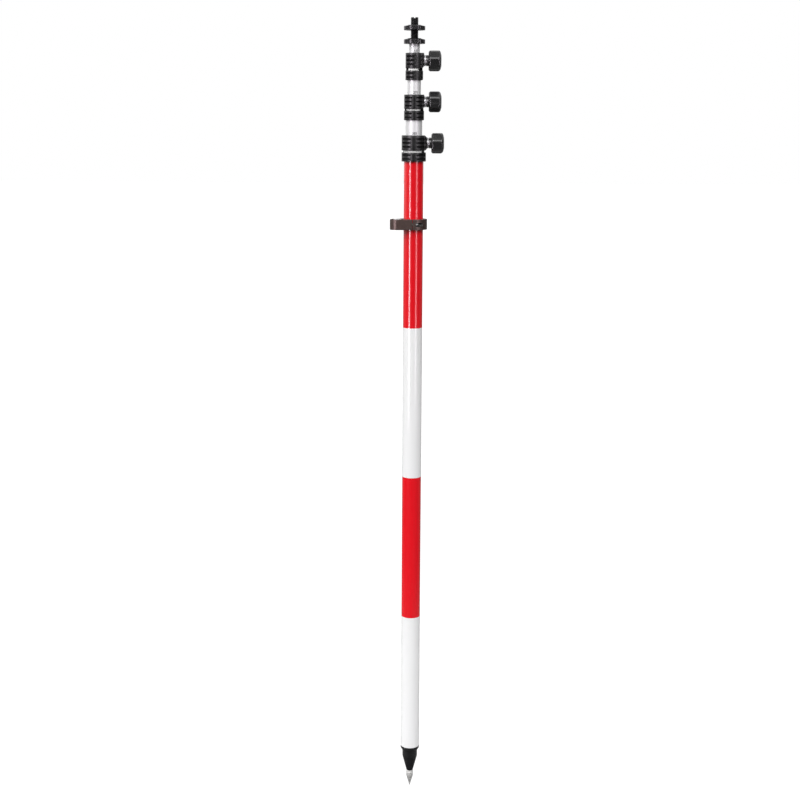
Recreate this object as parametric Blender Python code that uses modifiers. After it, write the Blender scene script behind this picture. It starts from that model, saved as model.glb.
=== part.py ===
"""A four-section telescopic surveying pole, closed, standing on its steel point.

The origin is the tip of the point and +Z runs up the pole. The clamp knobs point along +X,
the level bracket reaches out along -X, and the pole's front is at -Y. Lengths are in metres.
"""

import math
from collections import namedtuple

import bmesh
import bpy
from mathutils import Vector

# ---------------------------------------------------------------- driving dimensions
OBJECT_NAME = "surveying_pole"
GAP = 0.0003  # clearance between pieces that lie against each other
LARGE_STEPS = 36  # facets round a tube or a collar
MEDIUM_STEPS = 28
SMALL_STEPS = 20
TINY_STEPS = 12
OVERCUT = 0.002  # how far a cutter runs past the wall it cuts
MERGE = 0.00005

TOTAL_HEIGHT = 1.650

# Steel point and its holder
POINT_RADIUS = 0.00725
POINT_CONE = 0.0245
POINT_TIP_RADIUS = 0.0004
POINT_SHANK_RADIUS = 0.0050
POINT_SHANK_TOP = 0.066
POINT_EDGE = 0.0005
HOLDER_END = 0.0370
HOLDER_END_RADIUS = 0.0061
HOLDER_END_ROUNDING = 0.0012
HOLDER_WAIST_RADIUS = 0.01615
HOLDER_WAIST_BOTTOM = 0.0720
HOLDER_WAIST_TOP = 0.0850
HOLDER_LIP_RADIUS = 0.02015
HOLDER_LIP_BOTTOM = 0.0915
HOLDER_LIP_TOP = 0.0960
HOLDER_SPIGOT_TOP = 0.1300
HOLDER_SPIGOT_WALL = 0.0040

# Tubes, from the outermost in. Each inner tube stands on a guide bush that slides in the tube
# outside it, and with the pole closed the bushes stand on one another and on the tip holder.
# A bush's sleeve meets the collar above it after TRAVEL, so that much of the tube stays inside.
TRAVEL = 1.115
BUSH_HEIGHT = 0.030  # the part of a guide bush below its tube's end
BUSH_PLUG = 0.012  # the part of it inside its tube
BUSH_BAND = 0.012  # height of the bands on either side of the relief
BUSH_RELIEF = 0.0008
BUSH_WALL = 0.0032
STACK_START = HOLDER_SPIGOT_TOP + BUSH_HEIGHT + 2 * GAP
STACK_STEP = BUSH_HEIGHT + BUSH_PLUG + 2 * GAP
Section = namedtuple("Section", "radius wall bottom top")
SECTIONS = {
    1: Section(0.02000, 0.0018, HOLDER_LIP_TOP + GAP, 1.3820),
    2: Section(0.01675, 0.0015, STACK_START, 1.4650),
    3: Section(0.01350, 0.0014, STACK_START + STACK_STEP, 1.5436),
    4: Section(0.01075, 0.0013, STACK_START + 2 * STACK_STEP, 1.5987),
}

# Clamps: one moulded collar on top of each of the three outer sections. A collar is a lower ring,
# a slit and an upper ring with a boss whose flat face carries the screw. turn is how many degrees
# the knob's front ridge stands above the horizontal.
Clamp = namedtuple("Clamp", "bottom lower slit upper radius face boss turn")
CLAMPS = {
    1: Clamp(1.3670, 0.0180, 0.0040, 0.0300, 0.02475, 0.0265, 0.0130, 11.0),
    2: Clamp(1.4490, 0.0190, 0.0035, 0.0280, 0.02025, 0.0205, 0.0120, 26.0),
    3: Clamp(1.5280, 0.0186, 0.0050, 0.0294, 0.01775, 0.0195, 0.0118, 8.5),
}
COLLAR_CHAMFER = 0.0010
BOSS_DROP = 0.0004  # the boss stops this far below the collar's top
POST_HALF = 0.0050  # half the width of the two posts that cross the slit
POST_INSET = 0.0013

# Clamp screw, its bushing in the collar, its pressure pad and the knob
SCREW_RADIUS = 0.0048
SCREW_CHAMFER = 0.0006
BUSHING_SLEEVE_RADIUS = 0.0075
BUSHING_FLANGE_RADIUS = 0.0110
BUSHING_FLANGE = 0.0034
BUSHING_EDGE = 0.0004
PAD_RADIUS = 0.0044
PAD_THICKNESS = 0.0024
KNOB_RIDGES = 7
KNOB_RIDGE_RADIUS = 0.0210
KNOB_FACE_RADIUS = 0.0190
KNOB_LENGTH = 0.0257
KNOB_HUB_RADIUS = 0.0108
KNOB_HUB = 0.0050
KNOB_EDGE = 0.0022
KNOB_BLIND_DEPTH = 0.0180
KNOB_OUTLINE_POINTS = 42

# Head: flange and plug, threaded stud, lock nut
FLANGE_RADIUS = 0.02135
FLANGE_BOTTOM = 1.5990
FLANGE_RIM = 0.0080
FLANGE_CROWN = 0.0025
HUB_RADIUS = 0.0133
LOCK_NUT_BOTTOM = 1.6254
LOCK_NUT_RIM = 0.0076
LOCK_NUT_CROWN = 0.0022
STUD_RADIUS = 0.0079
STUD_CHAMFER = 0.0009
STUD_BOTTOM = 1.5720
PLUG_BOTTOM = 1.5640
STUD_SLOT = 0.0030
STUD_SLOT_DEPTH = 0.0022
RIM_CHAMFER = 0.0006

# Level bracket
BRACKET_BOTTOM = 1.2298
BRACKET_HEIGHT = 0.0213
BRACKET_RING_RADIUS = 0.0283
BRACKET_POD_RADIUS = 0.0158
BRACKET_POD_X = -0.0323
BRACKET_SPLIT_X = -0.0020
BRACKET_SPLIT = 0.0014
BRACKET_SCREW_Y = -0.0247
BRACKET_SCREW_RADIUS = 0.0024
BRACKET_HEAD_RADIUS = 0.0040
BRACKET_HEAD_X = 0.0055
BRACKET_HEAD = 0.0045
BRACKET_HEAD_EDGE = 0.0004
BRACKET_SOCKET_RADIUS = 0.0022
BRACKET_SOCKET_DEPTH = 0.0025
BRACKET_SCREW_END_X = -0.0150
BRACKET_EDGE = 0.0005
BRACKET_RING_POINTS = 26
BRACKET_POD_POINTS = 12

# Circular level in the bracket's pod: heights are measured down from the bracket's top
POCKET_RADIUS = 0.0136
POCKET_DEPTH = 0.0130
CASE_RADIUS = 0.0089
CASE_WALL = 0.0008
CASE_FLANGE_RADIUS = 0.0132
CASE_FLANGE_TOP = 0.0065
CASE_FLANGE = 0.0016
CASE_BOTTOM = 0.0120
LENS_THICKNESS = 0.0026
LENS_RISE = 0.0008
BUBBLE_RADIUS = 0.0028
BUBBLE_DEPTH = 0.0007
LEVEL_SCREW_CIRCLE = 0.0111
LEVEL_SCREW_RADIUS = 0.0011
LEVEL_SCREW_HEAD_RADIUS = 0.0018
LEVEL_SCREW_HEAD = 0.0012
LEVEL_SCREW_LENGTH = 0.0085
LEVEL_SCREWS = 3

# ---------------------------------------------------------------- materials
COLOURS = {  # name: linear colour, roughness, metallic
    "painted_tube": ((0.72, 0.03, 0.035), 0.30, 0.0),
    "anodised_tube": ((0.80, 0.80, 0.82), 0.35, 0.9),
    "black_plastic": ((0.025, 0.025, 0.027), 0.50, 0.0),
    "knob_plastic": ((0.030, 0.030, 0.032), 0.38, 0.0),
    "black_alloy": ((0.022, 0.022, 0.024), 0.40, 0.6),
    "black_steel": ((0.018, 0.018, 0.019), 0.45, 0.8),
    "bright_steel": ((0.62, 0.62, 0.63), 0.28, 1.0),
    "point_steel": ((0.50, 0.49, 0.48), 0.40, 1.0),
    "nylon": ((0.78, 0.77, 0.72), 0.55, 0.0),
    "bronze_alloy": ((0.085, 0.055, 0.045), 0.38, 0.7),
    "brass": ((0.70, 0.50, 0.22), 0.35, 1.0),
    "level_liquid": ((0.55, 0.78, 0.12), 0.10, 0.0),
    "lens": ((0.85, 0.92, 0.95), 0.05, 0.0),
}


def make_material(name):
    colour, roughness, metallic = COLOURS[name]
    material = bpy.data.materials.new(name)
    material.use_nodes = True
    shader = material.node_tree.nodes["Principled BSDF"]
    shader.inputs["Base Color"].default_value = (*colour, 1.0)
    shader.inputs["Roughness"].default_value = roughness
    shader.inputs["Metallic"].default_value = metallic
    material.diffuse_color = (*colour, 1.0)
    return material


# ---------------------------------------------------------------- scene helpers
def clear_scene():
    for obj in list(bpy.data.objects):
        bpy.data.objects.remove(obj, do_unlink=True)


def make_collection(name):
    collection = bpy.data.collections.new(name)
    bpy.context.scene.collection.children.link(collection)
    return collection


def frame(name, parent=None, location=(0, 0, 0), rotation=(0, 0, 0)):
    """An empty that stands for a moving body, on its joint's axis."""
    empty = bpy.data.objects.new(name, None)
    empty.empty_display_size = 0.01
    PARTS.objects.link(empty)
    empty.parent = parent
    empty.location = location
    empty.rotation_euler = rotation
    return empty


def shade_round(mesh, sharp_degrees=35):
    mesh.shade_smooth()
    mesh.set_sharp_from_angle(angle=math.radians(sharp_degrees))


def place(obj, material, parent):
    """Makes an object one of the pole's pieces."""
    PARTS.objects.link(obj)
    obj.parent = parent
    obj.data.materials.append(make_material(material))
    return obj


def as_cutter(obj):
    CUTTERS.objects.link(obj)
    obj.hide_render = True
    obj.display_type = "WIRE"
    return obj


def turned(name, profile, steps=LARGE_STEPS):
    """A solid of revolution about its own Z. The (radius, height) points run down the outer side;
    a profile that begins off the axis is a ring, and its last point joins its first."""
    is_ring = profile[0][0] > 0
    edges = [(i, i + 1) for i in range(len(profile) - 1)]
    if is_ring:
        edges.append((len(profile) - 1, 0))
    mesh = bpy.data.meshes.new(name)
    mesh.from_pydata([(radius, 0, height) for radius, height in profile], edges, [])
    obj = bpy.data.objects.new(name, mesh)
    screw = obj.modifiers.new("Turn", "SCREW")
    screw.steps = steps
    screw.render_steps = steps
    screw.use_merge_vertices = True
    screw.merge_threshold = MERGE
    screw.use_smooth_shade = False
    return obj


def pipe_profile(outer, inner, bottom, top, chamfer=0.0):
    if chamfer == 0.0:
        return [(inner, top), (outer, top), (outer, bottom), (inner, bottom)]
    return [
        (inner, top),
        (outer - chamfer, top),
        (outer, top - chamfer),
        (outer, bottom + chamfer),
        (outer - chamfer, bottom),
        (inner, bottom),
    ]


def rod_profile(radius, bottom, top, chamfer=0.0):
    return [(0, top), *pipe_profile(radius, radius, bottom, top, chamfer)[1:-1], (0, bottom)]


def mesh_object(name, build):
    """An object whose mesh is made by build(bm)."""
    bm = bmesh.new()
    build(bm)
    bmesh.ops.recalc_face_normals(bm, faces=bm.faces)
    mesh = bpy.data.meshes.new(name)
    bm.to_mesh(mesh)
    bm.free()
    return bpy.data.objects.new(name, mesh)


def box(name, low, high):
    low = Vector(low)
    high = Vector(high)

    def build(bm):
        bmesh.ops.create_cube(bm, size=1.0)
        bmesh.ops.scale(bm, vec=high - low, verts=bm.verts)
        bmesh.ops.translate(bm, vec=(low + high) / 2, verts=bm.verts)

    return mesh_object(name, build)


def rod_along_x(name, radius, start, end, height=0.0, across=0.0, steps=SMALL_STEPS):
    """A plain cylinder along X, at the given height and Y."""
    obj = turned(name, rod_profile(radius, start, end), steps)
    obj.rotation_euler = (0, math.radians(90), 0)
    obj.location = (0, across, height)
    return obj


def boolean(obj, other, operation="DIFFERENCE"):
    modifier = obj.modifiers.new(other.name, "BOOLEAN")
    modifier.operation = operation
    modifier.object = other
    modifier.solver = "EXACT"


def cut(obj, cutter):
    boolean(obj, as_cutter(cutter))


def join(obj, extra):
    boolean(obj, as_cutter(extra), "UNION")


# ---------------------------------------------------------------- point and holder
def steel_point(parent):
    shoulder = HOLDER_END - GAP
    profile = [
        (0, POINT_SHANK_TOP),
        (POINT_SHANK_RADIUS, POINT_SHANK_TOP),
        (POINT_SHANK_RADIUS, shoulder),
        (POINT_RADIUS - POINT_EDGE, shoulder),
        (POINT_RADIUS, shoulder - POINT_EDGE),
        (POINT_RADIUS, POINT_CONE),
        (POINT_TIP_RADIUS, POINT_TIP_RADIUS),
        (0, 0),
    ]
    return place(turned("steel_point", profile, SMALL_STEPS), "point_steel", parent)


def tip_holder(parent):
    spigot = SECTIONS[1].radius - SECTIONS[1].wall - GAP
    hollow = spigot - HOLDER_SPIGOT_WALL
    hole = POINT_SHANK_RADIUS + GAP
    profile = [
        (0, HOLDER_LIP_TOP),
        (hollow, HOLDER_LIP_TOP),
        (hollow, HOLDER_SPIGOT_TOP),
        (spigot, HOLDER_SPIGOT_TOP),
        (spigot, HOLDER_LIP_TOP),
        (HOLDER_LIP_RADIUS, HOLDER_LIP_TOP),
        (HOLDER_LIP_RADIUS, HOLDER_LIP_BOTTOM),
        (HOLDER_WAIST_RADIUS, HOLDER_WAIST_TOP),
        (HOLDER_WAIST_RADIUS, HOLDER_WAIST_BOTTOM),
        (HOLDER_END_RADIUS + HOLDER_END_ROUNDING, HOLDER_END + HOLDER_END_ROUNDING),
        (HOLDER_END_RADIUS, HOLDER_END),
        (hole, HOLDER_END),
        (hole, POINT_SHANK_TOP + GAP),
        (0, POINT_SHANK_TOP + GAP),
    ]
    return place(turned("tip_holder", profile), "black_alloy", parent)


# ---------------------------------------------------------------- tubes and guide bushes
def section_tube(number, parent):
    section = SECTIONS[number]
    name = "outer_tube" if number == 1 else f"section_{number}_tube"
    finish = "painted_tube" if number == 1 else "anodised_tube"
    profile = pipe_profile(section.radius, section.radius - section.wall, section.bottom, section.top)
    return place(turned(name, profile), finish, parent)


def guide_bush(number, parent):
    """A plug that the inner tube stands on, a foot that rides in the outer tube, and a sleeve round
    the inner tube, whose top meets the collar above when the section is fully out."""
    inner = SECTIONS[number]
    outer = SECTIONS[number - 1]
    band = outer.radius - outer.wall - GAP
    relief = band - BUSH_RELIEF
    plug = inner.radius - inner.wall - GAP
    bore = plug - BUSH_WALL
    sleeve = inner.radius + GAP
    shoulder = inner.bottom - GAP
    bottom = shoulder - BUSH_HEIGHT
    sleeve_top = outer.top - TRAVEL
    profile = [
        (bore, shoulder + BUSH_PLUG),
        (plug, shoulder + BUSH_PLUG),
        (plug, shoulder),
        (sleeve, shoulder),
        (sleeve, sleeve_top),
        (band, sleeve_top),
        (band, shoulder - BUSH_BAND),
        (relief, shoulder - BUSH_BAND),
        (relief, bottom + BUSH_BAND),
        (band, bottom + BUSH_BAND),
        (band, bottom),
        (bore, bottom),
    ]
    return place(turned(f"section_{number}_guide_bush", profile, MEDIUM_STEPS), "nylon", parent)


# ---------------------------------------------------------------- clamps
def knob_height(clamp):
    return clamp.bottom + clamp.lower + clamp.slit + clamp.upper / 2


def slit_cutter(number, clamp, slit_bottom, slit_top):
    """A ring across the wall, less the two posts that join the lower ring to the upper."""
    inner = SECTIONS[number + 1].radius - OVERCUT
    outer = clamp.radius + 3 * OVERCUT
    slit = turned(f"cut_slit_{number}", pipe_profile(outer, inner, slit_bottom, slit_top))
    low = slit_bottom - OVERCUT
    high = slit_top + OVERCUT
    reach = clamp.radius - POST_INSET
    cut(slit, box(f"cut_posts_{number}", (-reach, -POST_HALF, low), (reach, POST_HALF, high)))
    return slit


def clamp_collar(number, parent):
    """The moulding: a lower ring bonded to its tube, a slit, and an upper ring with the boss."""
    clamp = CLAMPS[number]
    outer = SECTIONS[number]
    inner = SECTIONS[number + 1]
    top = clamp.bottom + clamp.lower + clamp.slit + clamp.upper
    slit_bottom = clamp.bottom + clamp.lower
    slit_top = slit_bottom + clamp.slit
    bore = inner.radius + GAP
    name = f"clamp_{number}_collar"

    collar = turned(name, rod_profile(clamp.radius, clamp.bottom, top, COLLAR_CHAMFER))
    boss_low = (0, -clamp.boss, slit_top - OVERCUT)
    boss_high = (clamp.face, clamp.boss, top - BOSS_DROP)
    boss = box(f"add_boss_{number}", boss_low, boss_high)
    edge = boss.modifiers.new("Edges", "BEVEL")
    edge.width = COLLAR_CHAMFER
    edge.segments = 1
    join(collar, boss)

    bores = [
        (0, top + OVERCUT),
        (bore + COLLAR_CHAMFER, top + OVERCUT),
        (bore + COLLAR_CHAMFER, top),
        (bore, top - COLLAR_CHAMFER),
        (bore, outer.top + GAP),
        (outer.radius + GAP, outer.top + GAP),
        (outer.radius + GAP, clamp.bottom - OVERCUT),
        (0, clamp.bottom - OVERCUT),
    ]
    cut(collar, turned(f"cut_bores_{number}", bores))
    cut(collar, slit_cutter(number, clamp, slit_bottom, slit_top))

    height = knob_height(clamp)
    sleeve_start = bushing_start(number)
    pad_hole = rod_along_x(f"cut_pad_hole_{number}", PAD_RADIUS + GAP, 0, clamp.face, height)
    cut(collar, pad_hole)
    sleeve_hole = rod_along_x(
        f"cut_bushing_hole_{number}",
        BUSHING_SLEEVE_RADIUS + GAP,
        sleeve_start - GAP,
        clamp.face + OVERCUT,
        height,
    )
    cut(collar, sleeve_hole)
    return place(collar, "black_plastic", parent)


def bushing_start(number):
    return SECTIONS[number + 1].radius + GAP + PAD_THICKNESS + 2 * GAP


def clamp_bushing(number, parent):
    """The flanged, threaded steel bushing pressed into the boss; its flange is the bright ring."""
    clamp = CLAMPS[number]
    bore = SCREW_RADIUS + GAP
    seat = clamp.face + GAP
    end = seat + BUSHING_FLANGE
    profile = [
        (bore, end),
        (BUSHING_FLANGE_RADIUS - BUSHING_EDGE, end),
        (BUSHING_FLANGE_RADIUS, end - BUSHING_EDGE),
        (BUSHING_FLANGE_RADIUS, seat),
        (BUSHING_SLEEVE_RADIUS, seat),
        (BUSHING_SLEEVE_RADIUS, bushing_start(number)),
        (bore, bushing_start(number)),
    ]
    bushing = turned(f"clamp_{number}_bushing", profile, MEDIUM_STEPS)
    bushing.rotation_euler = (0, math.radians(90), 0)
    bushing.location = (0, 0, knob_height(clamp))
    return place(bushing, "bright_steel", parent)


def pressure_pad(number, parent):
    """The pad between the screw's end and the inner tube. Like the screw and the knob, it is turned
    about its parent's Z, which runs out from the pole's axis."""
    start = SECTIONS[number + 1].radius + GAP
    profile = rod_profile(PAD_RADIUS, start, start + PAD_THICKNESS)
    return place(turned(f"clamp_{number}_pressure_pad", profile, SMALL_STEPS), "brass", parent)


def clamp_screw(number, parent):
    start = SECTIONS[number + 1].radius + PAD_THICKNESS + 2 * GAP
    end = knob_start(number) + KNOB_BLIND_DEPTH - GAP
    profile = rod_profile(SCREW_RADIUS, start, end, SCREW_CHAMFER)
    return place(turned(f"clamp_{number}_screw", profile, SMALL_STEPS), "bright_steel", parent)


def knob_start(number):
    """How far the hub's inner face is from the pole's axis."""
    return CLAMPS[number].face + BUSHING_FLANGE + 2 * GAP


def knob_outline():
    """Seven rounded ridges with shallow hollows between them."""
    middle = (KNOB_RIDGE_RADIUS + KNOB_FACE_RADIUS) / 2
    swing = (KNOB_RIDGE_RADIUS - KNOB_FACE_RADIUS) / 2
    for index in range(KNOB_OUTLINE_POINTS):
        angle = 2 * math.pi * index / KNOB_OUTLINE_POINTS
        radius = middle + swing * math.cos(KNOB_RIDGES * angle)
        yield radius * math.cos(angle), radius * math.sin(angle)


def outline_curve(name, points, bottom, top, edge):
    """A flat outline with thickness and chamfered edges, made a mesh."""
    curve = bpy.data.curves.new(name, "CURVE")
    curve.dimensions = "2D"
    curve.fill_mode = "BOTH"
    curve.extrude = (top - bottom) / 2
    spline = curve.splines.new("POLY")
    spline.points.add(len(points) - 1)
    spline.use_cyclic_u = True
    for point, (x, y) in zip(spline.points, points):
        point.co = (x, y, 0, 1)
    drawn = bpy.data.objects.new(f"{name}_outline", curve)
    drawn.location = (0, 0, (top + bottom) / 2)
    CUTTERS.objects.link(drawn)
    bpy.context.view_layer.update()
    graph = bpy.context.evaluated_depsgraph_get()
    mesh = bpy.data.meshes.new_from_object(drawn.evaluated_get(graph))
    bm = bmesh.new()
    bm.from_mesh(mesh)
    bmesh.ops.remove_doubles(bm, verts=bm.verts, dist=MERGE)
    bmesh.ops.recalc_face_normals(bm, faces=bm.faces)
    bm.to_mesh(mesh)
    bm.free()
    obj = bpy.data.objects.new(name, mesh)
    obj.matrix_world = drawn.matrix_world
    bpy.data.objects.remove(drawn, do_unlink=True)
    bevel = obj.modifiers.new("Edges", "BEVEL")
    bevel.width = edge
    bevel.segments = 1
    bevel.limit_method = "ANGLE"
    bevel.angle_limit = math.radians(60)
    return obj


def clamp_knob(number, parent):
    hub_start = knob_start(number)
    body_start = hub_start + KNOB_HUB
    end = body_start + KNOB_LENGTH
    knob = outline_curve(f"clamp_{number}_knob", list(knob_outline()), body_start, end, KNOB_EDGE)
    hub = rod_profile(KNOB_HUB_RADIUS, hub_start, body_start + KNOB_EDGE + OVERCUT)
    hub_piece = turned(f"add_hub_{number}", hub, MEDIUM_STEPS)
    hub_piece.parent = parent
    join(knob, hub_piece)
    blind = rod_profile(SCREW_RADIUS + GAP, hub_start - OVERCUT, hub_start + KNOB_BLIND_DEPTH)
    blind_hole = turned(f"cut_blind_{number}", blind, SMALL_STEPS)
    blind_hole.parent = parent
    cut(knob, blind_hole)
    return place(knob, "knob_plastic", parent)


def clamp(number, carrier):
    """Everything of one clamp, on the section that carries it."""
    clamp_collar(number, carrier)
    clamp_bushing(number, carrier)
    height = knob_height(CLAMPS[number])
    z_to_x = (0, math.radians(90), 0)
    pad_frame = frame(f"clamp_{number}_pad_body", carrier, (0, 0, height), z_to_x)
    pressure_pad(number, pad_frame)
    # The pad frame's X points down and its Y to the back, and a ridge lies on the knob's X.
    front_ridge = (0, 0, math.radians(270 - CLAMPS[number].turn))
    knob_frame = frame(f"clamp_{number}_knob_body", pad_frame, (0, 0, 0), front_ridge)
    clamp_screw(number, knob_frame)
    clamp_knob(number, knob_frame)


# ---------------------------------------------------------------- head
def crowned_disc(radius, hole, bottom, rim, crown):
    """A round nut's section: a straight rim, a conical top and a flat hub round the hole."""
    return [
        (hole, bottom + rim + crown),
        (HUB_RADIUS, bottom + rim + crown),
        (radius - RIM_CHAMFER, bottom + rim),
        (radius, bottom + rim - RIM_CHAMFER),
        (radius, bottom + RIM_CHAMFER),
        (radius - RIM_CHAMFER, bottom),
    ]


def head_flange(parent):
    section = SECTIONS[4]
    hole = STUD_RADIUS + GAP
    plug = section.radius - section.wall - GAP
    profile = [
        (0, STUD_BOTTOM - GAP),
        (hole, STUD_BOTTOM - GAP),
        *crowned_disc(FLANGE_RADIUS, hole, FLANGE_BOTTOM, FLANGE_RIM, FLANGE_CROWN),
        (plug, FLANGE_BOTTOM),
        (plug, PLUG_BOTTOM),
        (0, PLUG_BOTTOM),
    ]
    return place(turned("head_flange", profile), "black_alloy", parent)


def head_stud(parent):
    profile = rod_profile(STUD_RADIUS, STUD_BOTTOM, TOTAL_HEIGHT, STUD_CHAMFER)
    stud = turned("head_stud", profile, MEDIUM_STEPS)
    slot_floor = TOTAL_HEIGHT - STUD_SLOT_DEPTH
    reach = STUD_RADIUS + OVERCUT
    slot = box(
        "cut_stud_slot",
        (-STUD_SLOT / 2, -reach, slot_floor),
        (STUD_SLOT / 2, reach, TOTAL_HEIGHT + OVERCUT),
    )
    cut(stud, slot)
    return place(stud, "black_steel", parent)


def lock_nut(parent):
    hole = STUD_RADIUS + GAP
    profile = [
        *crowned_disc(FLANGE_RADIUS, hole, LOCK_NUT_BOTTOM, LOCK_NUT_RIM, LOCK_NUT_CROWN),
        (hole, LOCK_NUT_BOTTOM),
    ]
    return place(turned("lock_nut", profile), "black_alloy", parent)


# ---------------------------------------------------------------- level bracket
def pod_centre():
    return BRACKET_POD_X, BRACKET_POD_RADIUS - BRACKET_RING_RADIUS


def bracket_outline():
    """The outline round the pole's ring and the level's pod: two arcs joined by two tangents."""
    pod = Vector(pod_centre())
    towards_pod = math.atan2(pod.y, pod.x)
    lean = math.acos((BRACKET_RING_RADIUS - BRACKET_POD_RADIUS) / pod.length)
    ring_span = 2 * math.pi - 2 * lean
    pod_span = 2 * lean
    points = []
    for centre, radius, first, span, count in (
        (Vector((0, 0)), BRACKET_RING_RADIUS, towards_pod + lean, ring_span, BRACKET_RING_POINTS),
        (pod, BRACKET_POD_RADIUS, towards_pod - lean, pod_span, BRACKET_POD_POINTS),
    ):
        for index in range(count + 1):
            angle = first + span * index / count
            points.append(tuple(centre + radius * Vector((math.cos(angle), math.sin(angle)))))
    return points


def level_screw_places():
    x, y = pod_centre()
    for index in range(LEVEL_SCREWS):
        angle = math.radians(90 + 360 * index / LEVEL_SCREWS)
        yield x + LEVEL_SCREW_CIRCLE * math.cos(angle), y + LEVEL_SCREW_CIRCLE * math.sin(angle)


def upright(name, radius, bottom, top, x, y, steps=SMALL_STEPS):
    obj = turned(name, rod_profile(radius, bottom, top), steps)
    obj.location = (x, y, 0)
    return obj


def cut_bracket_split(body, bottom, top):
    half = BRACKET_SPLIT / 2
    front = -BRACKET_RING_RADIUS - OVERCUT
    back = -(SECTIONS[1].radius - OVERCUT)
    low = (BRACKET_SPLIT_X - half, front, bottom - OVERCUT)
    high = (BRACKET_SPLIT_X + half, back, top + OVERCUT)
    cut(body, box("cut_bracket_split", low, high))


def cut_bracket_screw(body, middle):
    """The hole for the screw's shank, and the recess that its head sits in."""
    hole_radius = BRACKET_SCREW_RADIUS + GAP
    hole_start = BRACKET_SCREW_END_X - GAP
    hole_end = BRACKET_HEAD_X + OVERCUT
    hole = rod_along_x("cut_screw_hole", hole_radius, hole_start, hole_end, middle, BRACKET_SCREW_Y)
    cut(body, hole)
    recess_radius = BRACKET_HEAD_RADIUS + GAP
    recess_start = BRACKET_HEAD_X - GAP
    recess_end = BRACKET_RING_RADIUS
    recess = rod_along_x("cut_recess", recess_radius, recess_start, recess_end, middle, BRACKET_SCREW_Y)
    cut(body, recess)


def cut_level_screw_holes(body, top):
    low = top - CASE_FLANGE_TOP - LEVEL_SCREW_LENGTH - GAP
    high = top - POCKET_DEPTH + OVERCUT
    radius = LEVEL_SCREW_RADIUS + GAP
    for index, (x, y) in enumerate(level_screw_places()):
        cut(body, upright(f"cut_level_screw_{index + 1}", radius, low, high, x, y, TINY_STEPS))


def bracket_body(parent):
    bottom = BRACKET_BOTTOM
    top = bottom + BRACKET_HEIGHT
    low = bottom - OVERCUT
    high = top + OVERCUT
    body = outline_curve("level_bracket", bracket_outline(), bottom, top, BRACKET_EDGE)
    cut(body, upright("cut_pole_bore", SECTIONS[1].radius + GAP, low, high, 0, 0, LARGE_STEPS))
    x, y = pod_centre()
    cut(body, upright("cut_pocket", POCKET_RADIUS, top - POCKET_DEPTH, high, x, y, MEDIUM_STEPS))
    cut_bracket_split(body, bottom, top)
    cut_bracket_screw(body, (bottom + top) / 2)
    cut_level_screw_holes(body, top)
    return place(body, "bronze_alloy", parent)


def bracket_screw(parent):
    """A socket-headed screw across the split, threaded into the left side."""
    middle = BRACKET_BOTTOM + BRACKET_HEIGHT / 2
    head_end = BRACKET_HEAD_X + BRACKET_HEAD
    profile = [
        (0, head_end - BRACKET_SOCKET_DEPTH),
        (BRACKET_SOCKET_RADIUS, head_end - BRACKET_SOCKET_DEPTH),
        (BRACKET_SOCKET_RADIUS, head_end),
        (BRACKET_HEAD_RADIUS - BRACKET_HEAD_EDGE, head_end),
        (BRACKET_HEAD_RADIUS, head_end - BRACKET_HEAD_EDGE),
        (BRACKET_HEAD_RADIUS, BRACKET_HEAD_X),
        (BRACKET_SCREW_RADIUS, BRACKET_HEAD_X),
        (BRACKET_SCREW_RADIUS, BRACKET_SCREW_END_X),
        (0, BRACKET_SCREW_END_X),
    ]
    screw = turned("bracket_clamp_screw", profile, SMALL_STEPS)
    screw.rotation_euler = (0, math.radians(90), 0)
    screw.location = (0, BRACKET_SCREW_Y, middle)
    return place(screw, "bright_steel", parent)


def dome(radius, base, rise, count=4):
    """Profile points from the axis out to radius: a quarter of an ellipse, hollow if rise < 0."""
    points = []
    for index in range(count + 1):
        angle = math.pi / 2 * index / count
        points.append((radius * math.sin(angle), base + rise * math.cos(angle)))
    return points


def at_pod(name, profile, steps=MEDIUM_STEPS):
    """A piece of the level, turned about the pod's axis."""
    obj = turned(name, profile, steps)
    x, y = pod_centre()
    obj.location = (x, y, 0)
    return obj


def level_case(parent):
    top = BRACKET_BOTTOM + BRACKET_HEIGHT
    flange_top = top - CASE_FLANGE_TOP
    flange_bottom = flange_top - CASE_FLANGE
    bottom = top - CASE_BOTTOM
    inner = CASE_RADIUS - CASE_WALL
    profile = [
        (0, bottom + CASE_WALL),
        (inner, bottom + CASE_WALL),
        (inner, top),
        (CASE_RADIUS, top),
        (CASE_RADIUS, flange_top),
        (CASE_FLANGE_RADIUS, flange_top),
        (CASE_FLANGE_RADIUS, flange_bottom),
        (CASE_RADIUS, flange_bottom),
        (CASE_RADIUS, bottom),
        (0, bottom),
    ]
    case = at_pod("level_case", profile)
    low = flange_bottom - CASE_FLANGE / 2
    high = flange_top + CASE_FLANGE / 2
    radius = LEVEL_SCREW_RADIUS + GAP
    for index, (x, y) in enumerate(level_screw_places()):
        cut(case, upright(f"cut_case_hole_{index + 1}", radius, low, high, x, y, TINY_STEPS))
    return place(case, "bright_steel", parent)


def level_fill(parent):
    """The liquid, hollowed where the bubble rests under the lens."""
    top = BRACKET_BOTTOM + BRACKET_HEIGHT
    radius = CASE_RADIUS - CASE_WALL - GAP
    bottom = top - CASE_BOTTOM + CASE_WALL + GAP
    surface = top - LENS_THICKNESS - GAP
    profile = [
        *dome(BUBBLE_RADIUS, surface, -BUBBLE_DEPTH),
        (radius, surface),
        (radius, bottom),
        (0, bottom),
    ]
    return place(at_pod("level_liquid", profile), "level_liquid", parent)


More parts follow.
